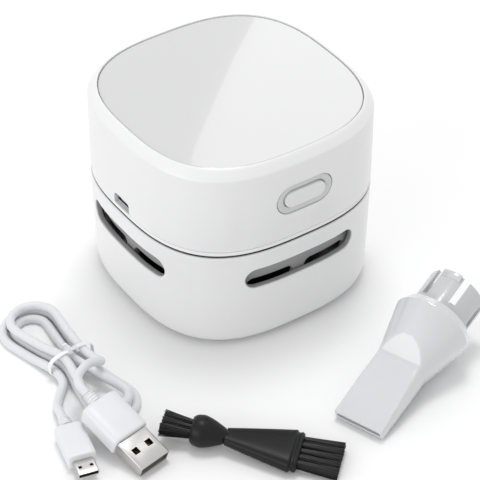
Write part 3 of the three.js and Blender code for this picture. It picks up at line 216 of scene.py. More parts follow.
def fillet(points, radius=0.3, steps=3):
    """Rounds the corners of a closed outline of (r, z) points, by radius or less."""
    out, n, most = [], len(points), 0.45
    for i in range(n):
        p, a, b = Vector(points[i]), Vector(points[i - 1]), Vector(points[(i + 1) % n])
        u, v = a - p, b - p
        reach = min(radius, u.length * most, v.length * most)
        p0, p1 = p + u.normalized() * reach, p + v.normalized() * reach
        for k in range(steps + 1):
            t = k / steps
            q = p0 * (1 - t) ** 2 + p * 2 * t * (1 - t) + p1 * t * t
            out.append((q.x, q.y))
    return out


def turned_frame(x, y, z, tilt, turn):
    """The frame of a piece whose own X axis is turned about Z and dipped by tilt, in metres."""
    return (Matrix.Translation(Vector((x + VX, y + VY, z)) * MM)
            @ Matrix.Rotation(turn, 4, "Z") @ Matrix.Rotation(tilt, 4, "Y"))


# The cable's sizes: cord, hank, plugs. The cord's route has the same points as the solid's.
CORD = 3.0
STEP = 3.86  # from turn to turn, and from layer to layer
FLAT = 0.3  # how far the round cord sinks below the solid's flat facets
HANK_X, FAR, NEAR, HANK_TURN = -76.5, 5.0, -41.0, radians(4)
HALF_RUN, HANK_Y = (FAR - NEAR) / 2, (FAR + NEAR) / 2
FOLD, WAIST = 10.8, 6.7  # half the hank's width at its folds and at its waist
TURNS, REVERSE, LOOP = 2.5, 1.5, 24  # turns in all, turns in the lower layer, points of a turn
RUN, LIFT = 1 / 12, 1.3  # share of a turn in half a straight run, and its rise at the waist
RELIEF = 4.3  # from a mold's back to the end of the cord
USB_MOLD, USB_MOLD_WIDE, USB_MOLD_TALL = 16.5, 14.2, 7.6
USB_SHELL, USB_WIDE, USB_TALL = 11.8, 12.0, 4.5
MICRO_MOLD, MICRO_MOLD_WIDE, MICRO_MOLD_TALL = 16.0, 9.6, 6.2
MICRO_SHELL, MICRO_WIDE, MICRO_TALL = 6.4, 6.85, 1.8
GAP = 0.1  # between a mold's end and its shell
USB_TILT = radians(17.5)
usb_rise = USB_TALL / 2 * cos(USB_TILT) + (USB_MOLD + USB_SHELL) * sin(USB_TILT)
usb_frame = turned_frame(-84.0, -46.8, usb_rise, USB_TILT, radians(-79))
micro_frame = turned_frame(-93.8, -44.5, MICRO_MOLD_TALL / 2, 0, radians(-103))


def on_table(x, y, z):
    return Vector((x + VX, y + VY, z))


def plug_point(matrix, back):
    return (matrix @ Vector((-back * MM, 0, 0))) / MM


def hank_point(turns):
    """The cord's place after a number of turns round the hank."""
    part = turns % 1
    inset = STEP * (turns if turns < REVERSE else 2 * REVERSE - turns)
    middle = math.floor(2 * part + 0.5) / 2
    along = ((0.5 - part) if middle == 0.5 else (part - middle)) / RUN
    u, v, drawn = along * HALF_RUN, FOLD - inset, 0.0
    if abs(along) < 1:
        drawn = (1 + cos(pi * along)) / 2
        v = (1 if middle == 0.5 else -1) * (v - drawn * (FOLD - WAIST))
    else:
        far = part < 0.5
        turn = pi * (part - (0 if far else 0.5) - RUN) / (0.5 - 2 * RUN)
        u = (1 if far else -1) * (HALF_RUN + v * sin(turn))
        v = (-1 if far else 1) * v * cos(turn)
    climbed = min(1, max(0, (turns - REVERSE) / (2 * RUN) + 0.5))
    layer = STEP * climbed * climbed * (3 - 2 * climbed)
    return on_table(HANK_X + v * cos(HANK_TURN) - u * sin(HANK_TURN),
                    HANK_Y + v * sin(HANK_TURN) + u * cos(HANK_TURN),
                    CORD / 2 - FLAT + layer + LIFT * drawn ** 3)


route = [plug_point(micro_frame, RELIEF), plug_point(micro_frame, RELIEF + CORD)]
route += [on_table(-91.0, -33.4, 2.2), on_table(-87.5, -28.8, 1.5), hank_point(-0.5 / LOOP)]
route += [hank_point(i / LOOP) for i in range(int(TURNS * LOOP) + 1)]
route += [hank_point(TURNS + 0.5 / LOOP), on_table(-70.6, -27.5, 7.6), on_table(-72.8, -30.0, 10.2),
          on_table(-77.8, -31.4, 12.8), on_table(-84.0, -35.6, 13.2)]
route += [plug_point(usb_frame, RELIEF + CORD), plug_point(usb_frame, RELIEF)]


def mix(a, b, start, end, x):
    return a * ((end - x) / (end - start)) + b * ((x - start) / (end - start))


def smooth_route(points, per=6):
    """A centripetal Catmull-Rom line through the points."""
    ends = [points[0] * 2 - points[1]] + list(points) + [points[-1] * 2 - points[-2]]
    out = []
    for i in range(1, len(ends) - 2):
        p = ends[i - 1:i + 3]
        t = [0.0]
        for k in range(3):
            t.append(t[-1] + (p[k + 1] - p[k]).length ** 0.5)
        for s in range(per):
            x = t[1] + (t[2] - t[1]) * s / per
            a = [mix(p[k], p[k + 1], t[k], t[k + 1], x) for k in range(3)]
            b = [mix(a[k], a[k + 1], t[k], t[k + 2], x) for k in range(2)]
            out.append(mix(*b, t[1], t[2], x))
    out.append(points[-1])
    return out


def make_cord(line):
    curve = bpy.data.curves.new("cord_jacket", "CURVE")
    curve.dimensions = "3D"
    spline = curve.splines.new("POLY")
    spline.points.add(len(line) - 1)
    for point, place in zip(spline.points, line):
        point.co = (*(place * MM), 1)
        point.radius = CORD / 2 * MM
    curve.bevel_depth = 1  # the points carry the radius, so that the curve's box is the tube's
    curve.bevel_resolution = 5
    curve.use_fill_caps = True
    spline.use_smooth = True
    return add_object("cord_jacket", curve)


cord_line = smooth_route(route)
cord_jacket = make_cord(cord_line)
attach(cord_jacket, "cable")
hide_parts("cable_cord")


# Materials, all from nodes: colour and roughness that vary a little, and a fine grain
def set_inputs(node, values):
    for socket, value in values.items():
        node.inputs[socket].default_value = value


def add_node(tree, kind, values):
    node = tree.nodes.new("ShaderNode" + kind)
    set_inputs(node, values)
    return node


def new_material(name):
    mat = bpy.data.materials.new(name)
    mat.use_nodes = True
    return mat, mat.node_tree, mat.node_tree.nodes["Principled BSDF"]


def material(name, color, rough, vary=0.02, vary_scale=60, rough_vary=0.05, grain=0.0, grain_scale=5000,
             metal=0.0, coat=0.0, coat_rough=0.05, ior=1.5, spec=0.5, sheen=0.0, subsurface=0.0,
             stretch=(1, 1, 1)):
    mat, tree, shader = new_material(name)
    set_inputs(shader, {"Metallic": metal, "Coat Weight": coat, "Coat Roughness": coat_rough, "IOR": ior,
                        "Specular IOR Level": spec, "Sheen Weight": sheen, "Subsurface Weight": subsurface})
    if subsurface:
        set_inputs(shader, {"Subsurface Scale": 0.002, "Subsurface Radius": (1, 1, 1)})
    place = add_node(tree, "TexCoord", {})
    mapping = add_node(tree, "Mapping", {"Scale": stretch})
    tree.links.new(place.outputs["Object"], mapping.inputs["Vector"])
    low_noise, high_noise = 0.3, 0.7

    def noise(scale, detail=3):
        node = add_node(tree, "TexNoise", {"Scale": scale, "Detail": detail})
        tree.links.new(mapping.outputs["Vector"], node.inputs["Vector"])
        return node.outputs["Fac"]

    ramp = add_node(tree, "ValToRGB", {})
    ends = ((low_noise, 1 - vary), (high_noise, 1 + vary))
    for element, (position, share) in zip(ramp.color_ramp.elements, ends):
        element.position = position
        element.color = (*[c * share for c in color], 1)
    tree.links.new(noise(vary_scale), ramp.inputs["Fac"])
    tree.links.new(ramp.outputs["Color"], shader.inputs["Base Color"])
    spread = add_node(tree, "MapRange", {"From Min": low_noise, "From Max": high_noise,
                                         "To Min": rough - rough_vary / 2, "To Max": rough + rough_vary / 2})
    tree.links.new(noise(vary_scale * 4), spread.inputs["Value"])
    tree.links.new(spread.outputs["Result"], shader.inputs["Roughness"])
    if grain:
        bump = add_node(tree, "Bump", {"Strength": grain, "Distance": 0.0001})
        tree.links.new(noise(grain_scale, 2), bump.inputs["Height"])
        tree.links.new(bump.outputs["Normal"], shader.inputs["Normal"])
    return mat


# The looks, each with its colour and roughness and named as the record's slot. But shell_steel
# belongs to the slot steel, and tongue_black to chip_black.
look_rows = {
    "white_shell": ((0.79, 0.79, 0.795), 0.3,
        dict(vary=0.004, rough_vary=0.03, coat=0.25, coat_rough=0.15)),
    "white_band": ((0.84, 0.84, 0.845), 0.34, dict(vary=0.006, grain=0.03, grain_scale=3500)),
    "gloss_panel": ((0.6, 0.6, 0.605), 0.1,
        dict(vary=0.004, rough_vary=0.02, coat=1.0, coat_rough=0.015, ior=1.6)),
    "button_white": ((0.76, 0.76, 0.765), 0.32, dict(vary=0.008, grain=0.05, grain_scale=4500)),
    "dish_grey": ((0.62, 0.62, 0.625), 0.4, dict(vary=0.01, grain=0.08, grain_scale=4500)),
    "grille_grey": ((0.3, 0.3, 0.3), 0.5, dict(vary=0.04, grain=0.1, grain_scale=2500)),
    "dark_plastic": ((0.012, 0.012, 0.013), 0.42, dict(vary=0.15, grain=0.12, grain_scale=2500)),
    "bowl_smoke": ((0.04, 0.04, 0.043), 0.16, dict(vary=0.08, rough_vary=0.08, coat=0.5)),
    "seal_rubber": ((0.018, 0.018, 0.018), 0.8, dict(vary=0.2, grain=0.2, grain_scale=3000)),
    "foot_rubber": ((0.13, 0.13, 0.13), 0.85, dict(vary=0.1, grain=0.25, grain_scale=2500)),
    "strip_nylon": ((0.02, 0.02, 0.02), 0.6, dict(vary=0.25, sheen=0.2, grain=0.2, grain_scale=4000)),
    "filter_black": ((0.016, 0.016, 0.016), 0.45, dict(vary=0.15, grain=0.12, grain_scale=2500)),
    "filter_white": ((0.68, 0.68, 0.66), 0.95,
        dict(vary=0.06, vary_scale=400, sheen=0.4, grain=0.8, grain_scale=1500)),
    "steel": ((0.55, 0.55, 0.56), 0.28,
        dict(vary=0.05, vary_scale=300, metal=1.0, grain=0.1, grain_scale=900, stretch=(1, 1, 8))),
    "shell_steel": ((0.52, 0.51, 0.5), 0.3,
        dict(vary=0.03, vary_scale=250, metal=1.0, grain=0.1, grain_scale=700, stretch=(1, 6, 1))),
    "brass": ((0.72, 0.5, 0.18), 0.3,
        dict(vary=0.08, vary_scale=300, metal=1.0, grain=0.1, grain_scale=900)),
    "board_green": ((0.012, 0.11, 0.045), 0.4,
        dict(vary=0.2, vary_scale=350, coat=0.4, grain=0.15, grain_scale=1200)),
    "chip_black": ((0.01, 0.01, 0.011), 0.5, dict(vary=0.2, grain=0.25, grain_scale=4500)),
    "tongue_black": ((0.02, 0.02, 0.021), 0.4, dict(vary=0.15, grain=0.1)),
    "capacitor_blue": ((0.015, 0.035, 0.15), 0.35, dict(vary=0.1, grain=0.05)),
    "cell_blue": ((0.02, 0.12, 0.42), 0.3, dict(vary=0.05, rough_vary=0.1, grain=0.1, grain_scale=700)),
    "lead_red": ((0.38, 0.015, 0.012), 0.45, dict(vary=0.08, grain=0.08, grain_scale=2000)),
    "lead_black": ((0.012, 0.012, 0.012), 0.45, dict(vary=0.15, grain=0.08, grain_scale=2000)),
    "nozzle_clear": ((0.62, 0.63, 0.65), 0.12,
        dict(vary=0.04, vary_scale=35, rough_vary=0.06, coat=1.0, coat_rough=0.03, subsurface=0.2)),
    "collar_grey": ((0.53, 0.54, 0.55), 0.22,
        dict(vary=0.03, rough_vary=0.08, coat=0.4, subsurface=0.1, grain=0.05, grain_scale=1500)),
    "brush_black": ((0.008, 0.008, 0.0085), 0.36, dict(vary=0.08, grain=0.05, grain_scale=2500, spec=0.22)),
    "bristle_black": ((0.006, 0.006, 0.0065), 0.4, dict(vary=0.35, vary_scale=900, spec=0.25)),
    "cord_white": ((0.72, 0.725, 0.75), 0.42,
        dict(vary=0.015, grain=0.08, grain_scale=2200, subsurface=0.12)),
    "plug_white": ((0.75, 0.755, 0.78), 0.38,
        dict(vary=0.012, grain=0.06, grain_scale=3200, subsurface=0.08)),
    "tie_white": ((0.84, 0.85, 0.88), 0.45, dict(vary=0.03, grain=0.15, grain_scale=1500)),
}
looks = {name: material(name, color, rough, **more) for name, (color, rough, more) in look_rows.items()}


def paint(obj, mat):
    if obj.data.materials:
        for i in range(len(obj.data.materials)):
            obj.data.materials[i] = mat
    else:
        obj.data.materials.append(mat)


def dress(obj, slot, body, *replaced, look=None):
    """Paints a new piece with its slot's look or the look given, hangs it on its body, and hides the solids
    that it stands for.
    """
    paint(obj, looks[look or slot])
    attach(obj, body)
    if replaced:
        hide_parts(*replaced)


paint(cord_jacket, looks["cord_white"])

# The CAD nodes that stay in view when the body is opened
kept_nodes = {
    "dark_plastic": ["impeller", "motor_end_cap"],
    "filter_black": ["motor_clamp", "battery_cradle"],
    "steel": ["motor_can", "motor_shaft", "charging_socket"] + [name for name in nodes if "screw" in name],
    "brass": ["battery_terminal_plus", "battery_terminal_minus"],
    "board_green": ["switch_board", "control_board"],
    "chip_black": ["charge_chip", "tact_switch"],
    "capacitor_blue": ["capacitor"],
    "cell_blue": ["battery_cell"],
    "lead_red": ["battery_lead_red", "motor_lead_red"],
    "lead_black": ["battery_lead_black", "motor_lead_black"],
}
for slot, names in kept_nodes.items():
    for name in names:
        paint(nodes[name], looks[slot])
        shade(nodes[name], 32)


# The body's outline is a soft square. Columns stand round it, and rings go up and down its walls.
POWER = 2.84
HALF = 44.0  # half the body's width, from the seam upwards
SIDE, SIDE_STEPS, CORNER_STEPS = 28.0, 28, 20
WALL, ROWS = 2.0, 12  # the walls' thickness, and the rows of a patch with an opening
SLOT_LOW, SLOT_HIGH, SLOT_MIDDLE, SLOT_STRAIGHT, SLOT_RADIUS = 22.4, 34.8, 28.6, 18, 4
DISH_LOW, DISH_HIGH, DISH_MIDDLE = 49.0, 65.6, 57.3
FOOT_Z, FOOT_HALF, SEAM_Z = 8.2, 43.4, 39.6
PORT = 14.9  # radius of the suction opening
PANEL_TOP = 74  # height of the glossy panel's face
quarter_columns = [("side", -SIDE + 2 * SIDE * i / SIDE_STEPS) for i in range(SIDE_STEPS + 1)]
quarter_columns += [("corner", i / CORNER_STEPS) for i in range(1, CORNER_STEPS)]
columns = [(quarter, *column) for quarter in range(4) for column in quarter_columns]


def wall_y(s, half):
    return -half * max(0.0, 1 - abs(s / half) ** POWER) ** (1 / POWER)


def turn_quarters(x, y, z, quarters):
    for _ in range(quarters):
        x, y = -y, x
    return (VX + x, VY + y, z)


def body_ring(half, z, circle=None, around=columns):
    """The outline with half the width given, or a circle, with a point for each column."""
    y0 = wall_y(SIDE, half)
    start, end = math.atan2(y0, SIDE), math.atan2(-SIDE, -y0)
    ring = []
    for quarter, kind, value in around:
        if kind == "side":
            x, y = value, wall_y(value, half)
        else:
            a = start + (end - start) * value
            c, s = cos(a), sin(a)
            reach = half * (abs(c) ** POWER + abs(s) ** POWER) ** (-1 / POWER)
            x, y = reach * c, reach * s
        size = circle / hypot(x, y) if circle else 1
        ring.append(turn_quarters(x * size, y * size, z, quarter))
    return ring


def body_rings(rows):
    """A closed loop of rings through rows of (half, z) or (half, z, circle)."""
    return [body_ring(*row) for row in rows + rows[:1]]


# A patch covers a part of a side wall round an opening. Its rings hold points of (s, z, depth):
# along the wall, up it and into it.
def patch_border(left, right, low, high, across, up):
    points = [(left + (right - left) * i / across, low) for i in range(across + 1)]
    points += [(right, low + (high - low) * i / up) for i in range(1, up + 1)]
    points += [(right - (right - left) * i / across, high) for i in range(1, across + 1)]
    return points + [(left, high - (high - low) * i / up) for i in range(1, up)]


def pill(centre, middle, straight, radius, across, up):
    """Points (s, z) round a pill, one for each point of a border."""
    points = [(straight * (2 * i / across - 1), -radius) for i in range(across + 1)]
    turn = [pi * i / up - pi / 2 for i in range(1, up + 1)]
    points += [(straight + radius * cos(a), radius * sin(a)) for a in turn]
    points += [(straight * (1 - 2 * i / across), radius) for i in range(1, across + 1)]
    points += [(-straight - radius * cos(a), -radius * sin(a)) for a in turn[:-1]]
    return [(centre + s, middle + z) for s, z in points]


def patch_rings(border, rows):
    """Rings from rows of (outline, share of the way to it from the border, depth)."""
    return [[(b[0] + (p[0] - b[0]) * share, b[1] + (p[1] - b[1]) * share, depth)
             for b, p in zip(border, outline)] for outline, share, depth in rows]


def on_wall(rings, half_at, quarter):
    return [[turn_quarters(s, wall_y(s, half_at(z) - depth), z, quarter) for s, z, depth in ring]
            for ring in rings]


def make_shell(name, below, above, floor, quarters, low, high, middle, pills, half_at):
    """A shell through levels of (half, z). From low to high, some sides are patches with an opening."""
    outside = [(half_at(z), z) for z in (low + (high - low) * i / ROWS for i in range(ROWS + 1))]
    inside = [(half - WALL, z) for half, z in reversed(outside)]
    levels = below + outside + above + inside + floor
    patched = {first + i for first in (len(below), len(below + outside + above)) for i in range(ROWS)}
    skin = ([point for level in levels for point in body_ring(*level)], [])
    count = len(columns)
    for r in range(len(levels)):
        q = (r + 1) % len(levels)
        for i, (quarter, kind, _) in enumerate(columns):
            j = (i + 1) % count
            if r in patched and quarter in quarters and kind == columns[j][1] == "side":
                continue
            skin[1].append((r * count + i, r * count + j, q * count + j, q * count + i))
    border = patch_border(-SIDE, SIDE, low, high, SIDE_STEPS, ROWS)
    edge = [(pill(0, middle, straight, radius, SIDE_STEPS, ROWS), 1, depth)
            for straight, radius, depth in pills]
    fine = 24
    rows = [(edge[0][0], k / fine, 0.0) for k in range(fine)] + edge
    rows += [(edge[-1][0], share, WALL) for share in (0.9, 0.7, 0.45, 0.2, 0)]
    for quarter in quarters:
        add_rings(skin, on_wall(patch_rings(border, rows), half_at, quarter))
    return new_object(name, skin, 30)


def lower_half(z):
    """Half the lower shell's width, which leans out up to the seam."""
    return FOOT_HALF + (HALF - FOOT_HALF) * (z - FOOT_Z) / (SEAM_Z - FOOT_Z)


def make_lower_shell():
    below = [(40.2, 1.8, PORT), (40.2, 1.8), (41.2, 1.86), (42.0, 2.2), (42.6, 2.9), (42.95, 3.9),
             (43.15, 5.0), (43.3, 6.6)]
    below += [(lower_half(z), z) for z in (FOOT_Z, 14, 20)]
    above = [(lower_half(38.6), 38.6), (lower_half(39.3) - 0.02, 39.3), (lower_half(39.5) - 0.12, 39.52),
             (HALF - 0.35, SEAM_Z), (42.2, SEAM_Z), (42.0, 39.4)]
    floor = [(41.4, FOOT_Z), (38.4, 4.35), (38.0, 4.3), (38.0, 4.3, PORT)]
    edge = [(0.8, 0.0), (0.35, 0.0), (0.16, 0.05), (0.04, 0.17), (0, 0.4), (0, 1.2), (0, 1.9), (0.05, WALL)]
    pills = [(SLOT_STRAIGHT, SLOT_RADIUS + grow, depth) for grow, depth in edge]
    shell = make_shell("lower_shell", below, above, floor, range(4), SLOT_LOW, SLOT_HIGH, SLOT_MIDDLE,
                       pills, lower_half)
    dress(shell, "white_shell", "base", "lower_housing")


def make_upper_shell():
    """Straight walls, a bevelled rim, the ledge for the panel and the dish for the button."""
    below = [(42.1, 42.25), (42.3, 42.2), (43.7, 42.2), (43.92, 42.28), (HALF, 42.5), (HALF, 44.0)]
    rim = [(HALF, 66.4), (HALF, 69.8), (HALF, 70.5), (HALF, 70.75), (43.95, 71.05), (43.84, 71.32),
           (43.68, 71.56), (42.95, 72.46), (42.2, 73.4), (41.98, 73.66), (41.76, 73.88), (41.5, 74.08),
           (41.25, 74.24), (41.05, 74.34), (40.92, 74.34), (40.84, 74.26), (40.8, 74.1), (40.8, 72.4),
           (40.7, 72.3), (38.8, 72.3), (38.8, 70.6), (42.0, 70.6)]
    pills = [(5.5, 6.6, 0.0), (5.5, 6.0, 0.0), (5.5, 5.8, 0.05), (5.5, 5.7, 0.2), (5.5, 5.7, 1.1),
             (5.5, 5.65, 1.2), (5.2, 4.6, 1.2), (5.0, 3.4, 1.2), (5.0, 3.4, 1.6), (5.0, 3.4, WALL)]
    shell = make_shell("upper_shell", below, rim, [], (0,), DISH_LOW, DISH_HIGH, DISH_MIDDLE, pills,
                       lambda z: HALF)
    carve(shell, [notch_cutter()])
    shade(shell, 30)
    dress(shell, "white_shell", "upper", "upper_housing")


def notch_cutter():
    """A bar with round upper corners, for the opening over the charging socket."""
    wide, low, top, corner, steps = 4.6, 41.0, 46.6, 1.6, 8
    points = []
    for i in range(steps + 1):
        a = pi / 2 * i / steps
        points.append((wide - corner + corner * cos(a), top - corner + corner * sin(a)))
    points = [(wide, low)] + points + [(-y, z) for y, z in reversed(points)] + [(-wide, low)]
    return ring_mesh("notch_cutter", [[(VX + x, VY + y, z) for y, z in points] for x in (-48.0, -39.0)], 30,
                     caps=True)


make_lower_shell()
make_upper_shell()
panel_levels = [(40.3, 72.6), (40.5, 72.7), (40.5, 73.72), (40.46, 73.86), (40.35, 73.95), (40.2, 73.99),
                (40.0, PANEL_TOP)]
panel = ring_mesh("gloss_panel", [body_ring(*level) for level in panel_levels], 35, caps=True)
dress(panel, "gloss_panel", "upper", "top_panel")


def make_grille():
    """The wall behind the slots, with two windows on each side and a post between them."""
    half, thick, low, high, rows, steps = 41.1, 1.4, 18.0, 37.5, 10, SIDE_STEPS // 2
    centre, middle, straight, radius = 11.2, 24.1, 6.3, 2.5
    skin = ([], [])
    for quarter in range(4):
        for side in (-SIDE, SIDE):
            border = patch_border(min(0, side), max(0, side), low, high, steps, rows)
            x = copysign(centre, side)
            near, lip, window = (pill(x, middle, straight, radius + grow, steps, rows)
                                 for grow in (0.35, 0.08, 0))
            patch = [(near, 0, 0), (near, 0.5, 0), (near, 1, 0), (lip, 1, 0.1), (window, 1, 0.35),
                     (window, 1, thick), (window, 0, thick)]
            add_rings(skin, on_wall(patch_rings(border, patch), lambda z: half, quarter))
        first = quarter * len(quarter_columns) + SIDE_STEPS
        corner = [columns[(first + k) % len(columns)] for k in range(CORNER_STEPS + 1)]
        section = [(half, low), (half, high), (half - thick, high), (half - thick, low), (half, low)]
        add_rings(skin, [body_ring(h, z, None, corner) for h, z in section], closed=False)
    return new_object("grille_wall", skin, 30)


dress(make_grille(), "grille_grey", "base", "exhaust_grille")


# Pieces in the button's dish: upright pills at the front face
def pill_loft(name, sections, caps):
    """A skin through pills of (straight half, radius, y)."""
    steps, rings = 24, []
    for straight, radius, y in sections:
        turn = [pi * i / (steps - 1) - pi / 2 for i in range(steps)]
        half = [(straight + radius * cos(a), radius * sin(a)) for a in turn]
        rings.append([(VX + side * x, VY + y, DISH_MIDDLE + side * z) for side in (1, -1) for x, z in half])
    return ring_mesh(name, rings, 35, caps=caps)


bezel_sections = [(5.5, 5.38, -43.12), (5.5, 5.4, -43.4), (5.5, 5.36, -43.52), (5.5, 5.28, -43.56),
                  (5.5, 5.1, -43.55), (5.3, 4.5, -43.46), (5.1, 3.85, -43.4), (5.0, 3.55, -43.36),
                  (5.0, 3.45, -43.3), (5.0, 3.4, -43.12), (5.5, 5.38, -43.12)]
button_sections = [(5.0, 4.2, -40.9), (5.0, 4.2, -41.7), (5.0, 3.0, -41.7), (5.0, 3.0, -43.85),
                   (5.0, 2.97, -44.03), (5.0, 2.88, -44.14), (5.0, 2.74, -44.19), (4.9, 2.3, -44.17),
                   (4.7, 1.5, -44.12), (4.2, 0.7, -44.1)]
dress(pill_loft("dish_ring", bezel_sections, False), "dish_grey", "upper", "button_bezel")
dress(pill_loft("button_cap", button_sections, True), "button_white", "button", "power_button")

# Grey liners in the slots, following the wall's curve
liner_section = [(3.98, 0.5), (3.98, 1.95), (3.74, 1.95), (3.74, 0.62), (3.8, 0.5)]
liner_rings = [[(s, z, depth) for s, z in pill(0, SLOT_MIDDLE, SLOT_STRAIGHT, radius, SIDE_STEPS, ROWS)]
               for radius, depth in liner_section + liner_section[:1]]
for quarter in range(4):
    liner = ring_mesh(f"slot_liner_{quarter}", on_wall(liner_rings, lower_half, quarter), 40)
    dress(liner, "grille_grey", "base")

# Where the fan cover's three screws stand
screw_places = [(28.5 * cos(a), 28.5 * sin(a)) for a in full_turn(3)]


def make_chassis():
    """The band between the halves, the spigot, the fan's dome and the bosses."""
    skin = ([], [])
    band = [(41.55, 40.4), (43.45, 40.4), (43.68, 40.46), (43.78, 40.6), (43.8, 40.8), (43.8, 41.5),
            (43.78, 41.7), (43.68, 41.84), (43.45, 41.9)]
    hole = 24.75
    spigot = [(40.4, 40.4), (40.4, 38.7), (40.5, 38.6), (41.5, 38.6), (41.6, 38.7), (41.6, 40.3)]
    add_rings(skin, body_rings(band + [(40.0, 41.9, hole), (40.0, 40.4, hole)] + spigot))
    add_turned(skin, [(24.0, 40.4), (25.5, 40.4), (25.5, 47.2), (25.2, 47.5), (4.5, 47.5), (4.5, 46.0),
                      (23.7, 46.0), (24.0, 45.7)], 96)
    for x, y in screw_places:
        add_turned(skin, [(1.3, 40.45), (3.4, 40.45), (3.4, 46.0), (1.3, 46.0)], 32, x, y)
    for x in (-18.5, 18.5):
        add_turned(skin, [(1.3, 47.0), (3.0, 47.0), (3.0, 51.0), (1.3, 51.0)], 32, x)
    return new_object("chassis_floor", skin, 30)


dress(make_chassis(), "white_band", "upper", "chassis_plate")

# Painted shade: a dark ring in the seam round the spigot, standing in for the shade in the gap, not for a
# part
seam_shade_section = [(41.58, 39.64), (43.42, 39.64), (43.58, 39.74), (43.58, 40.24), (43.42, 40.36),
                  (41.58, 40.36)]
dress(ring_mesh("seam_shade_ring", body_rings(seam_shade_section), 30), "seal_rubber", "upper")

# Round pieces of the lower unit: name, slot, solid, steps round, corner radius and profile
round_pieces = [
    ("inlet_ring", "dark_plastic", "suction_ring", 96, 0.3,
     [(11.4, 0.8), (16.5, 0.8), (16.5, 1.5), (14.5, 1.5), (14.5, 4.3), (11.4, 4.3)]),
    ("inlet_pipe", "bowl_smoke", "inlet_tube", 96, 0.3,
     [(11.7, 4.6), (12.9, 4.6), (12.9, 6.5), (15.3, 6.5), (15.3, 7.5), (12.9, 7.5), (12.9, 23.0),
      (11.7, 23.0)]),
    ("dust_cup", "bowl_smoke", "dust_bowl", 112, 0.35,
     [(13.2, 4.6), (33.0, 4.6), (33.0, 36.0), (31.6, 36.0), (31.6, 28.4), (30.0, 28.4), (30.0, 27.2),
      (31.6, 25.6), (31.6, 6.2), (13.2, 6.2)]),
    ("cup_seal", "seal_rubber", "bowl_seal", 112, 0.35,
     [(31.6, 36.3), (33.0, 36.3), (33.0, 37.1), (31.6, 37.1)]),
]
for name, slot, solid, steps, corner, profile in round_pieces:
    dress(turned_mesh(name, fillet(profile, corner), steps), slot, "base", solid)


def make_filter_frame():
    """The ring that holds the cloth, with a grip standing on it at the front."""
    skin = ([], [])
    profile = [(24.5, 28.7), (31.2, 28.7), (31.2, 32.0), (26.0, 32.0), (26.0, 29.4), (24.5, 29.4)]
    add_turned(skin, fillet(profile), 112)
    outline = rounded_rectangle(12.0, 2.4, 0.4, 3)
    front, rings = VY - 28.6, []
    for z, inset in ((31.0, 0.0), (33.1, 0.0), (33.4, 0.25)):
        rings.append([(VX + x - copysign(inset, x), front + y - copysign(0.6 * inset, y), z)
                      for x, y in outline])
    add_rings(skin, rings, end=True)
    return new_object("filter_ring", skin, 35)


dress(make_filter_frame(), "filter_black", "filter", "filter_frame")


def make_cloth():
    """The filter cloth, with folds from its middle to its flat edge, and a flat back."""
    steps, count, wide, hub, height, back = 180, 14, 25.7, 0.02, 30.65, 29.75
    sections = [(wide * r / count if r else hub, height) for r in range(count + 1)]
    sections += [(wide, back), (hub, back)]
    rings = []
    for radius, z in sections:
        fold = 0.28 * min(1.0, radius / 14) * (1 if radius < 24.5 else 0.2) * (z > back)
        rings.append([(VX + radius * cos(a), VY + radius * sin(a), z + fold * sin(60 * a))
                      for a in full_turn(steps)])
    skin = ([], [])
    add_rings(skin, rings, end=True)
    return new_object("filter_cloth", skin, 60)


dress(make_cloth(), "filter_white", "filter", "filter_mesh")


def make_fan_cover():
    skin = ([], [])
    add_turned(skin, fillet([(11.0, 37.4), (33.0, 37.4), (33.0, 38.6), (11.0, 38.6)]), 112)
    add_turned(skin, [(15.0, 37.35), (15.6, 37.2), (16.2, 37.35), (16.2, 37.6), (15.0, 37.6)], 112)
    for x, y in screw_places:
        add_turned(skin, [(1.3, 38.2), (3.6, 38.2), (3.6, 40.1), (1.3, 40.1)], 32, x, y)
    return new_object("fan_lid", skin, 35)


dress(make_fan_cover(), "dark_plastic", "upper", "fan_cover")

# Rubber feet
foot_profile = [(0.02, 0.0), (3.3, 0.0), (3.75, 0.12), (4.0, 0.5), (4.0, 2.0), (0.02, 2.0)]
for foot in ("foot_rear_right", "foot_rear_left", "foot_front_left", "foot_front_right"):
    low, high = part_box(foot)
    x, y = ((low[axis] + high[axis]) / 2 / MM for axis in (0, 1))
    dress(turned_mesh(foot + "_pad", foot_profile, 48, x - VX, y - VY), "foot_rubber", "base", foot)


def make_strip(name):
    """A strip under the body: a low bar with short bristles standing in it."""
    low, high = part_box(name)
    (x0, x1), (y0, y1) = ((low[axis] / MM, high[axis] / MM) for axis in (0, 1))
    skin = ([], [])
    add_box(skin, (x0, x1), (y0, y1), (1.5, 2.3))
    across, along, shift, lean, radius, root = 5, 44, 0.08, 0.12, 0.17, 1.55
    for i in range(along):
        for j in range(across):
            x = x0 + (i + 0.5) / along * (x1 - x0) + random.uniform(-shift, shift)
            y = y0 + (j + 0.5) / across * (y1 - y0) + random.uniform(-shift, shift)
            lean_x, lean_y = random.uniform(-lean, lean), random.uniform(-lean, lean)
            tip = 0.5 + random.uniform(0, 0.15)
            ends = ((x, y, root, radius), (x + lean_x, y + lean_y, tip, radius * 0.7))
            add_rings(skin, [[(u + r * cos(a), v + r * sin(a), z) for a in full_turn(4)]
                             for u, v, z, r in ends], end=True)
    dress(new_object(name + "_pile", skin, 50), "strip_nylon", "base", name)


make_strip("bristle_strip_front")
make_strip("bristle_strip_rear")


# Crevice nozzle and its snap collar, each along its own X axis
MOUTH, DUCT_HALF = 2.0, 5.2  # half the duct's height at its ends
DUCT_END, RAMP_END, CONE_END = 26, 32.5, 45
DUCT_RADIUS, CONE_RADIUS, NOZZLE_WALL = 9.3, 13.9, 1.2


def cone_radius(x):
    return DUCT_RADIUS + (CONE_RADIUS - DUCT_RADIUS) * max(0.0, x - DUCT_END) / (CONE_END - DUCT_END)


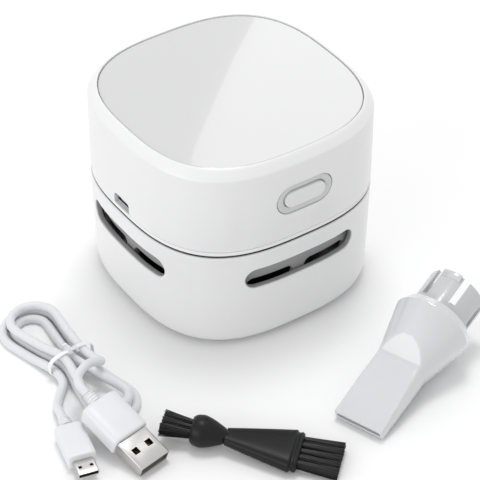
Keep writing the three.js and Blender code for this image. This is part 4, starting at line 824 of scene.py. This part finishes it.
ramp_half = cone_radius(RAMP_END)
nozzle_tilt = math.atan(max((ramp_half - MOUTH) / RAMP_END, (CONE_RADIUS - MOUTH) / CONE_END))
nozzle_frame = turned_frame(-14.7, -95.5, MOUTH * cos(nozzle_tilt), -nozzle_tilt, radians(19.6))


def nozzle_ring(x, inset=0.0, drop=0.0):
    """The section at x: a round one, cut flat above and below on the duct and the ramps."""
    radius = cone_radius(x) - inset - drop
    ring = oval(radius, radius, 2, x)
    if x >= RAMP_END:
        return ring
    half = MOUTH + (DUCT_HALF - MOUTH) * min(1.0, x / DUCT_END)
    if x > DUCT_END:
        along, soft = (x - DUCT_END) / (RAMP_END - DUCT_END), 0.1
        share = along * along / (2 * soft) if along < soft else along - soft / 2
        half = DUCT_HALF + (ramp_half - DUCT_HALF) * share / (1 - soft / 2)
    ease = 0.5
    edge = half - inset - drop - ease
    for i, (x, y, z) in enumerate(ring):
        if abs(z) > edge:
            ring[i] = (x, y, copysign(edge + ease * (1 - math.exp((edge - abs(z)) / ease)), z))
    return ring


def make_nozzle():
    """Rings down the outside from the mouth, over the rim and back along the inside."""
    ramp = RAMP_END - DUCT_END
    rings = [nozzle_ring(x, 0.0, drop) for x, drop in ((0.0, 0.6), (0.0, 0.42), (0.07, 0.2), (0.22, 0.06))]
    outside = [0.45, 1.0, 6, 12, 18, 24, 25.4, 25.8, 26] + [DUCT_END + ramp * i / 26 for i in range(1, 26)]
    rings += [nozzle_ring(x) for x in outside + [RAMP_END, 36, 40, 44.0, 44.6]]
    rim = ((45.0, 13.82), (45.35, 13.62), (45.8, 13.4), (46.8, 13.0), (47.5, 12.7), (47.8, 12.52),
           (47.95, 12.3), (48.0, 12.05), (48.0, 10.95), (47.9, 10.75), (47.6, 10.65), (46.0, 10.65),
           (45.0, 10.65), (45.0, 12.4))
    rings += [oval(r, r, 2, x) for x, r in rim]
    inside = [44, 38, 33] + [DUCT_END + ramp * i / 13 for i in range(12, -1, -1)] + [18, 10, 1.0, 0.4]
    rings += [nozzle_ring(x, NOZZLE_WALL) for x in inside]
    rings += [nozzle_ring(x, NOZZLE_WALL, drop) for x, drop in ((0.2, -0.06), (0.06, -0.18), (0.0, -0.35))]
    return ring_mesh("clear_nozzle", rings + rings[:1], 28, nozzle_frame)


dress(make_nozzle(), "nozzle_clear", "nozzle", "nozzle_body")
COLLAR = 10.4  # the collar's outer radius


def make_collar():
    """A ring of six fingers with gaps between them."""
    bore, end = 9.1, 61.5
    profile = [(CONE_END, COLLAR), (end - 0.9, COLLAR), (end - 0.35, COLLAR - 0.12),
               (end - 0.1, COLLAR - 0.32), (end, COLLAR - 0.6), (end, bore + 0.25),
               (end - 0.12, bore + 0.07), (end - 0.35, bore), (CONE_END, bore), (CONE_END, COLLAR)]
    collar = ring_mesh("snap_collar", [oval(r, r, 2, x, 144) for x, r in profile], 35)
    turns = [Matrix.Rotation((i + 0.5) * pi / 3, 4, "X") for i in range(6)]
    carve(collar, [box_mesh("gap", (50.5, 66), (-1.2, 1.2), (5, 16), turn) for turn in turns])
    collar.data.transform(nozzle_frame)
    shade(collar, 35)
    bevel(collar, 0.22, 3, 50)
    dress(collar, "collar_grey", "nozzle", "nozzle_collar")


def make_lip():
    """The raised lip on the finger that snaps into the suction ring."""
    section = [(61.35, 10.0), (61.35, 11.1), (61.0, 11.35), (60.1, 11.35), (58.9, 10.45), (58.9, 10.0)]
    half_wide, steps = 3.25, 12
    rings = []
    for k in range(steps + 1):
        a = (2 * k / steps - 1) * half_wide / COLLAR
        rings.append([(x, r * sin(a), r * cos(a)) for x, r in section])
    dress(ring_mesh("snap_lip", rings, 35, nozzle_frame, caps=True), "collar_grey", "nozzle")


make_collar()
make_lip()

# Cleaning brush: ferrule, flared handle and two rows of tufts
FERRULE_START, FERRULE, FERRULE_RADIUS = 10.3, 14.2, 5.3
GRIP_START, GRIP, GRIP_WIDE, GRIP_TALL = 21.5, 21.9, 8.6, 3.2
grip_end = GRIP_START + GRIP
ferrule_shares = [(0.0, 0.8), (0.05, 0.91), (0.14, 0.98), (0.26, 1.0), (0.45, 0.86), (0.7, 0.57),
                  (1.0, 0.2)]
widest = FERRULE_START + FERRULE * ferrule_shares[3][0]
brush_tilt = math.atan((FERRULE_RADIUS - GRIP_TALL) / (grip_end - widest))
brush_rise = FERRULE_RADIUS * cos(brush_tilt) + widest * sin(brush_tilt)
brush_frame = turned_frame(-69.1, -62.2, brush_rise, brush_tilt, radians(-47.4))


def eased(table, t):
    """A smooth line through rows of (place, value), flat at its ends."""
    last = len(table) - 2
    k = next(k for k in range(last + 1) if t <= table[k + 1][0])
    (t0, a), (t1, b) = table[k], table[k + 1]
    h = t1 - t0
    u = (t - t0) / h
    m0 = 0.0 if k == 0 else (b - table[k - 1][1]) / (t1 - table[k - 1][0]) * h
    m1 = 0.0 if k == last else (table[k + 2][1] - a) / (table[k + 2][0] - t0) * h
    return ((2 * u ** 3 - 3 * u * u + 1) * a + (u ** 3 - 2 * u * u + u) * m0
            + (3 * u * u - 2 * u ** 3) * b + (u ** 3 - u * u) * m1)


def make_brush():
    """Both pieces are hollow shells round their sockets, so the tufts start in the dark."""
    rings = [oval(1.9, 1.9, 2, 12.6, 64), oval(2.6, 1.7, 3, 11.2, 64), oval(3.0, 2.0, 2.6, 10.5, 64),
             oval(3.9, 3.8, 2, 10.32, 64)]
    count = 40
    for i in range(count):
        t = i / (count - 1)
        r = FERRULE_RADIUS * eased(ferrule_shares, t)
        rings.append(oval(r, r, 2, FERRULE_START + FERRULE * t, 64))
    ferrule = ring_mesh("brush_ferrule", rings, 45, brush_frame, caps=True)
    dress(ferrule, "brush_black", "brush", "brush_handle")
    rings, count = [], 30
    for i in range(count - 1):
        t = i / (count - 1)
        flare = t + 0.02 * sin(pi * t)
        rings.append(oval(3.2 + 5.4 * flare, 1.8 + 1.4 * flare, 3, GRIP_START + GRIP * t))
    rings.append(oval(8.57, 3.18, 3, grip_end - 0.15))
    lip = ((0.05, 0.08), (0.2, 0.25), (0.35, 0.5), (0.55, 0.62), (1.15, 0.62), (1.3, 0.5), (1.42, 0.42),
           (1.55, 0.36), (1.9, 0.42), (2.3, 0.62), (2.5, 0.82), (2.6, 1.1), (2.5, 1.28), (2.2, 1.36),
           (0.6, 1.36))
    rings += [oval(GRIP_WIDE - drop, GRIP_TALL - drop, 3, grip_end + along) for along, drop in lip]
    dress(ring_mesh("brush_grip", rings, 40, brush_frame, caps=True), "brush_black", "brush")


make_brush()


def strand_rings(root, tip, bow):
    """A strand that leaves its root straight and spreads towards its tip."""
    rings = []
    for k, radius in enumerate((0.16, 0.165, 0.165, 0.16, 0.13)):
        t = k / 4
        wide, arch = 0.8 * t + 0.2 * t * t, sin(pi * t)
        x, y, z = (root[axis] + (tip[axis] - root[axis]) * (t if axis == 0 else wide) + bow[axis] * arch
                   for axis in range(3))
        rings.append([(x, y + radius * cos(a), z + radius * sin(a)) for a in full_turn(5)])
    return rings


def make_tufts(name, node, root, tip, count, pitch, wide, tall, splay):
    """Tufts in a row across the brush, each an oval bundle of strands."""
    rng, skin, gap = random.Random(11 + count), ([], []), 0.34
    toward = 1 if tip > root else -1
    across, up = int(wide / gap) + 1, int(tall / gap) + 1
    for tuft in range(count):
        middle = (tuft - (count - 1) / 2) * pitch
        for column in range(across):
            for row in range(up):
                y = (column - (across - 1) / 2 + (0.5 if row % 2 else 0) - 0.25) * gap
                z = (row - (up - 1) / 2) * gap * 0.92
                if abs(2 * y / wide) ** 3 + abs(2 * z / tall) ** 3 > 1:
                    continue
                y, z = y + rng.uniform(-0.03, 0.03), z + rng.uniform(-0.03, 0.03)
                start = (root, middle + y * 0.68, z * 0.9)
                end = (tip - toward * rng.uniform(0.0, 0.45), splay * (middle + y * 1.14), splay * z)
                bow = (0.0, rng.uniform(-0.06, 0.06), rng.uniform(-0.06, 0.06))
                add_rings(skin, strand_rings(start, end, bow), start=True, end=True)
    dress(new_object(name, skin, 60, brush_frame), "bristle_black", "brush", node)


make_tufts("wide_tufts", "brush_wide_bristles", 44.1, 59.4, 5, 2.7, 2.3, 3.4, 1.12)
make_tufts("narrow_tufts", "brush_narrow_bristles", 12.5, 0.0, 3, 2.2, 1.8, 3.2, 1.45)


# Plugs: soft molds with ribbed reliefs, folded steel shells and their contacts
def make_mold(name, node, matrix, long, wide, tall):
    relief = [(-4.0, 1.35), (-4.0, 1.75), (-3.9, 1.95), (-3.6, 2.05)]
    ribs = 3
    pitch = 3.4 / ribs
    for i in range(ribs):
        x, base = -3.5 + i * pitch, 2.05 + 0.5 * i / ribs
        relief += [(x + along * pitch, base + rise)
                   for along, rise in ((0.05, 0.0), (0.2, -0.25), (0.45, -0.25), (0.6, 0.02), (0.9, 0.04))]
    rings = [oval(r, r, 2, x, 64) for x, r in relief + [(-0.05, 2.6)]]
    body = [(0.0, 1.75, 3.2), (0.04, 1.45, 3.6), (0.2, 1.05, 4), (0.5, 0.62, 4.4), (0.9, 0.28, 4.8),
            (1.4, 0.06, 5), (2.0, 0.0, 5)]
    body += [(long - back, drop, 5)
             for back, drop in ((1.0, 0.0), (0.55, 0.05), (0.22, 0.2), (0.05, 0.45), (0, 0.8))]
    rings += [oval(wide / 2 - drop, tall / 2 - drop, power, x, 64) for x, drop, power in body]
    dress(ring_mesh(name, rings, 45, matrix, caps=True), "plug_white", "cable", node)


make_mold("usb_handle", "usb_a_mold", usb_frame, USB_MOLD, USB_MOLD_WIDE, USB_MOLD_TALL)
make_mold("micro_handle", "micro_usb_mold", micro_frame, MICRO_MOLD, MICRO_MOLD_WIDE, MICRO_MOLD_TALL)


def make_sleeve(name, node, matrix, start, end, wide, tall, thick, corner, windows):
    """A steel shell round a socket, with windows cut into its broad sides."""
    inner = (2 * thick, corner - thick)
    sections = [(start, 0, corner), (end - 0.1, 0, corner), (end - 0.02, 0.08, corner),
                (end, 0.2, corner - 0.1), (end - 0.05, *inner), (start + 0.3, *inner)]
    rings = [[(x, y, z) for y, z in rounded_rectangle(wide - less, tall - less, radius, 5)]
             for x, less, radius in sections]
    sleeve = ring_mesh(name, rings, 35, caps=True)
    carve(sleeve, [box_mesh("window", x, y, z) for x, y, z in windows])
    sleeve.data.transform(matrix)
    shade(sleeve, 35)
    bevel(sleeve, 0.06, 2, 50)
    dress(sleeve, "steel", "cable", node, look="shell_steel")


usb_windows = [((USB_MOLD + 4.25, USB_MOLD + 6.55), (y - 1.15, y + 1.15), z)
               for y in (-2.8, 2.8) for z in ((1.0, 4.0), (-4.0, -1.0))]
micro_windows = [((MICRO_MOLD + 2.7, MICRO_MOLD + 3.8), (y - 0.55, y + 0.55), (0.4, 2.0))
                 for y in (-1.9, 1.9)]
make_sleeve("usb_sleeve", "usb_a_shell", usb_frame, USB_MOLD + GAP, USB_MOLD + USB_SHELL, USB_WIDE,
            USB_TALL, 0.4, 0.6, usb_windows)
make_sleeve("micro_sleeve", "micro_usb_shell", micro_frame, MICRO_MOLD + GAP, MICRO_MOLD + MICRO_SHELL,
            MICRO_WIDE, MICRO_TALL, 0.3, 0.5, micro_windows)


# Small blocks in the plugs: name, frame, x, y and z from low to high, and the width of the eased edges
contact_rows = [(y - 0.5, y + 0.5) for y in ((k - 1.5) * 2.45 for k in range(4))]
blocks = [("usb_tongue", usb_frame, (16.7, 27.6), (-5.4, 5.4), (-1.85, -0.05), 0.12)]
blocks += [(f"usb_contact_{k}", usb_frame, (19.5, 26.9), y, (-0.1, 0.03), 0.03)
           for k, y in enumerate(contact_rows)]
blocks += [("usb_seam", usb_frame, (16.6, 28.0), (-0.06, 0.06), (-2.275, -2.2), 0.01),
           ("micro_tongue", micro_frame, (16.2, 21.9), (-2.6, 2.6), (-0.2, 0.25), 0.05)]
for name, matrix, x, y, z, edge in blocks:
    block = box_mesh(name, x, y, z, matrix)
    bevel(block, edge, 2, 30)
    if "contact" in name:
        dress(block, "brass", "cable")
    else:
        dress(block, "chip_black", "cable", look="tongue_black")

# The tie: a thin band drawn round the waist, with its twisted tail
tie_frame = turned_frame(HANK_X, HANK_Y, 0, 0, HANK_TURN)


def make_tie_band():
    count, sides, slack, bottom = 48, 12, 0.45, 0.35
    wide, top = WAIST + CORD / 2 + slack, CORD - FLAT + LIFT + STEP + slack
    middle, tall = (top + bottom) / 2, (top - bottom) / 2
    outline = [Vector((wide * signed_power(cos(a), 0.72), middle + tall * signed_power(sin(a), 0.62)))
               for a in full_turn(count)]
    rings = []
    for a in full_turn(sides) + [0.0]:
        across, rise, ring = 0.85 * cos(a), 0.3 * sin(a), []
        for i, p in enumerate(outline):
            along = outline[(i + 1) % count] - outline[i - 1]
            normal = Vector((along.y, -along.x)).normalized() * rise
            ring.append((p.x + normal.x, across + 0.25 * sin(2 * pi * i / count), p.y + normal.y))
        rings.append(ring)
    return ring_mesh("tie_band", rings, 60, tie_frame)


def make_tie_tail():
    skin, steps, sides = ([], []), 12, 6
    for side, lean in ((-1, 0.5), (1, -0.35)):
        rings = []
        for k in range(steps + 1):
            t, twist = k / steps, 0.5 * k
            x, y = side * (0.3 + 1.2 * t), -0.3 + lean * 6 * t
            z = 9.1 + 1.5 * sin(pi * t) - 0.4 * t
            section = [(0.62 * cos(a), 0.24 * sin(a)) for a in full_turn(sides)]
            rings.append([(x + u * cos(twist) - v * sin(twist), y,
                           z + u * sin(twist) + v * cos(twist)) for u, v in section])
        add_rings(skin, rings, start=True, end=True)
    return new_object("tie_tail", skin, 60, tie_frame)


dress(make_tie_band(), "tie_white", "cable", "cable_tie")
dress(make_tie_tail(), "tie_white", "cable")

# Stage: floor, lamps and the reflection card, in metres, watts and radiance
WORLD, LEFT_WATTS, BACK_WATTS, CARD_RADIANCE = 0.73, 6.6, 4.0, 0.95
SET_MIDDLE = (0.0, 0.0, 0.03)


def area_light(name, place, target, wide, tall, power):
    data = bpy.data.lights.new(name, "AREA")
    data.shape = "RECTANGLE"
    data.size, data.size_y = wide, tall
    data.energy = power
    lamp = add_object(name, data)
    lamp.location = place
    lamp.rotation_mode = "QUATERNION"
    lamp.rotation_quaternion = (Vector(target) - Vector(place)).to_track_quat("-Z", "Y")
    return lamp


def make_world():
    """A white world, at full strength where it is seen directly or mirrored and dimmer as a lamp."""
    world = bpy.data.worlds.new("world")
    scene.world = world
    world.use_nodes = True
    tree = world.node_tree
    back = tree.nodes["Background"]
    path = add_node(tree, "LightPath", {})
    seen = path.outputs["Is Camera Ray"]
    for other in ("Is Glossy Ray", "Is Transmission Ray"):
        either = add_node(tree, "Math", {})
        either.operation = "MAXIMUM"
        tree.links.new(seen, either.inputs[0])
        tree.links.new(path.outputs[other], either.inputs[1])
        seen = either.outputs[0]
    strength = add_node(tree, "MapRange", {"To Min": WORLD, "To Max": 1.0})
    tree.links.new(seen, strength.inputs["Value"])
    tree.links.new(strength.outputs["Result"], back.inputs["Strength"])
    set_inputs(back, {"Color": (1, 1, 1, 1)})


def make_floor():
    mat, _, shader = new_material("floor")
    set_inputs(shader, {"Base Color": (0.93, 0.93, 0.93, 1), "Roughness": 0.9, "Specular IOR Level": 0.1})
    far = 3000
    corners = [(-far, -far, 0), (far, -far, 0), (far, far, 0), (-far, far, 0)]
    floor = new_object("floor", (corners, [(0, 1, 2, 3)]))
    floor.data.materials.append(mat)
    floor.location.z = -0.0002


def panel_point(u, v):
    """The place on the panel's plane seen at a pixel of the photograph."""
    unit = camera.data.lens / camera.data.sensor_width
    x = ((u - PICTURE / 2) / PICTURE + camera.data.shift_x) / unit
    y = ((PICTURE / 2 - v) / PICTURE + camera.data.shift_y) / unit
    ray = camera.rotation_quaternion @ Vector((x, y, -1))
    return camera.location + ray * ((PANEL_TOP * MM - camera.location.z) / ray.z)


def reflection_card(reach, wide, tall):
    """A soft box whose mirror image covers the right part of the glossy panel, up to a straight edge."""
    far, near = (panel_point(*pixel) for pixel in CARD_EDGE_PIXELS)
    eye = Vector((camera.location.x, camera.location.y, 2 * PANEL_TOP * MM - camera.location.z))
    middle = (far + near) / 2
    out = (middle - eye).normalized()
    centre = middle + out * reach

    def on_card(point):
        ray = point - eye
        return eye + ray * ((centre - eye).dot(out) / ray.dot(out))

    a, b = on_card(far), on_card(near)
    aside = (b - a).normalized().cross(out).normalized()
    if (on_card(panel_point(*PANEL_RIGHT_PIXEL)) - centre).dot(aside) < 0:
        aside = -aside
    place = (a + b) / 2 + aside * wide / 2
    card = area_light("card", place, place - out, wide, tall, CARD_RADIANCE * pi * wide * tall)
    turn = Matrix((aside, out.cross(aside), out)).transposed()
    card.rotation_quaternion = turn.to_quaternion()


make_world()
make_floor()
area_light("left", (-1.5, -0.25, 0.55), SET_MIDDLE, 1.3, 0.8, LEFT_WATTS)
area_light("back", (0.14, 0.2, 1.15), SET_MIDDLE, 0.34, 0.34, BACK_WATTS)
reflection_card(0.95, 0.42, 0.62)
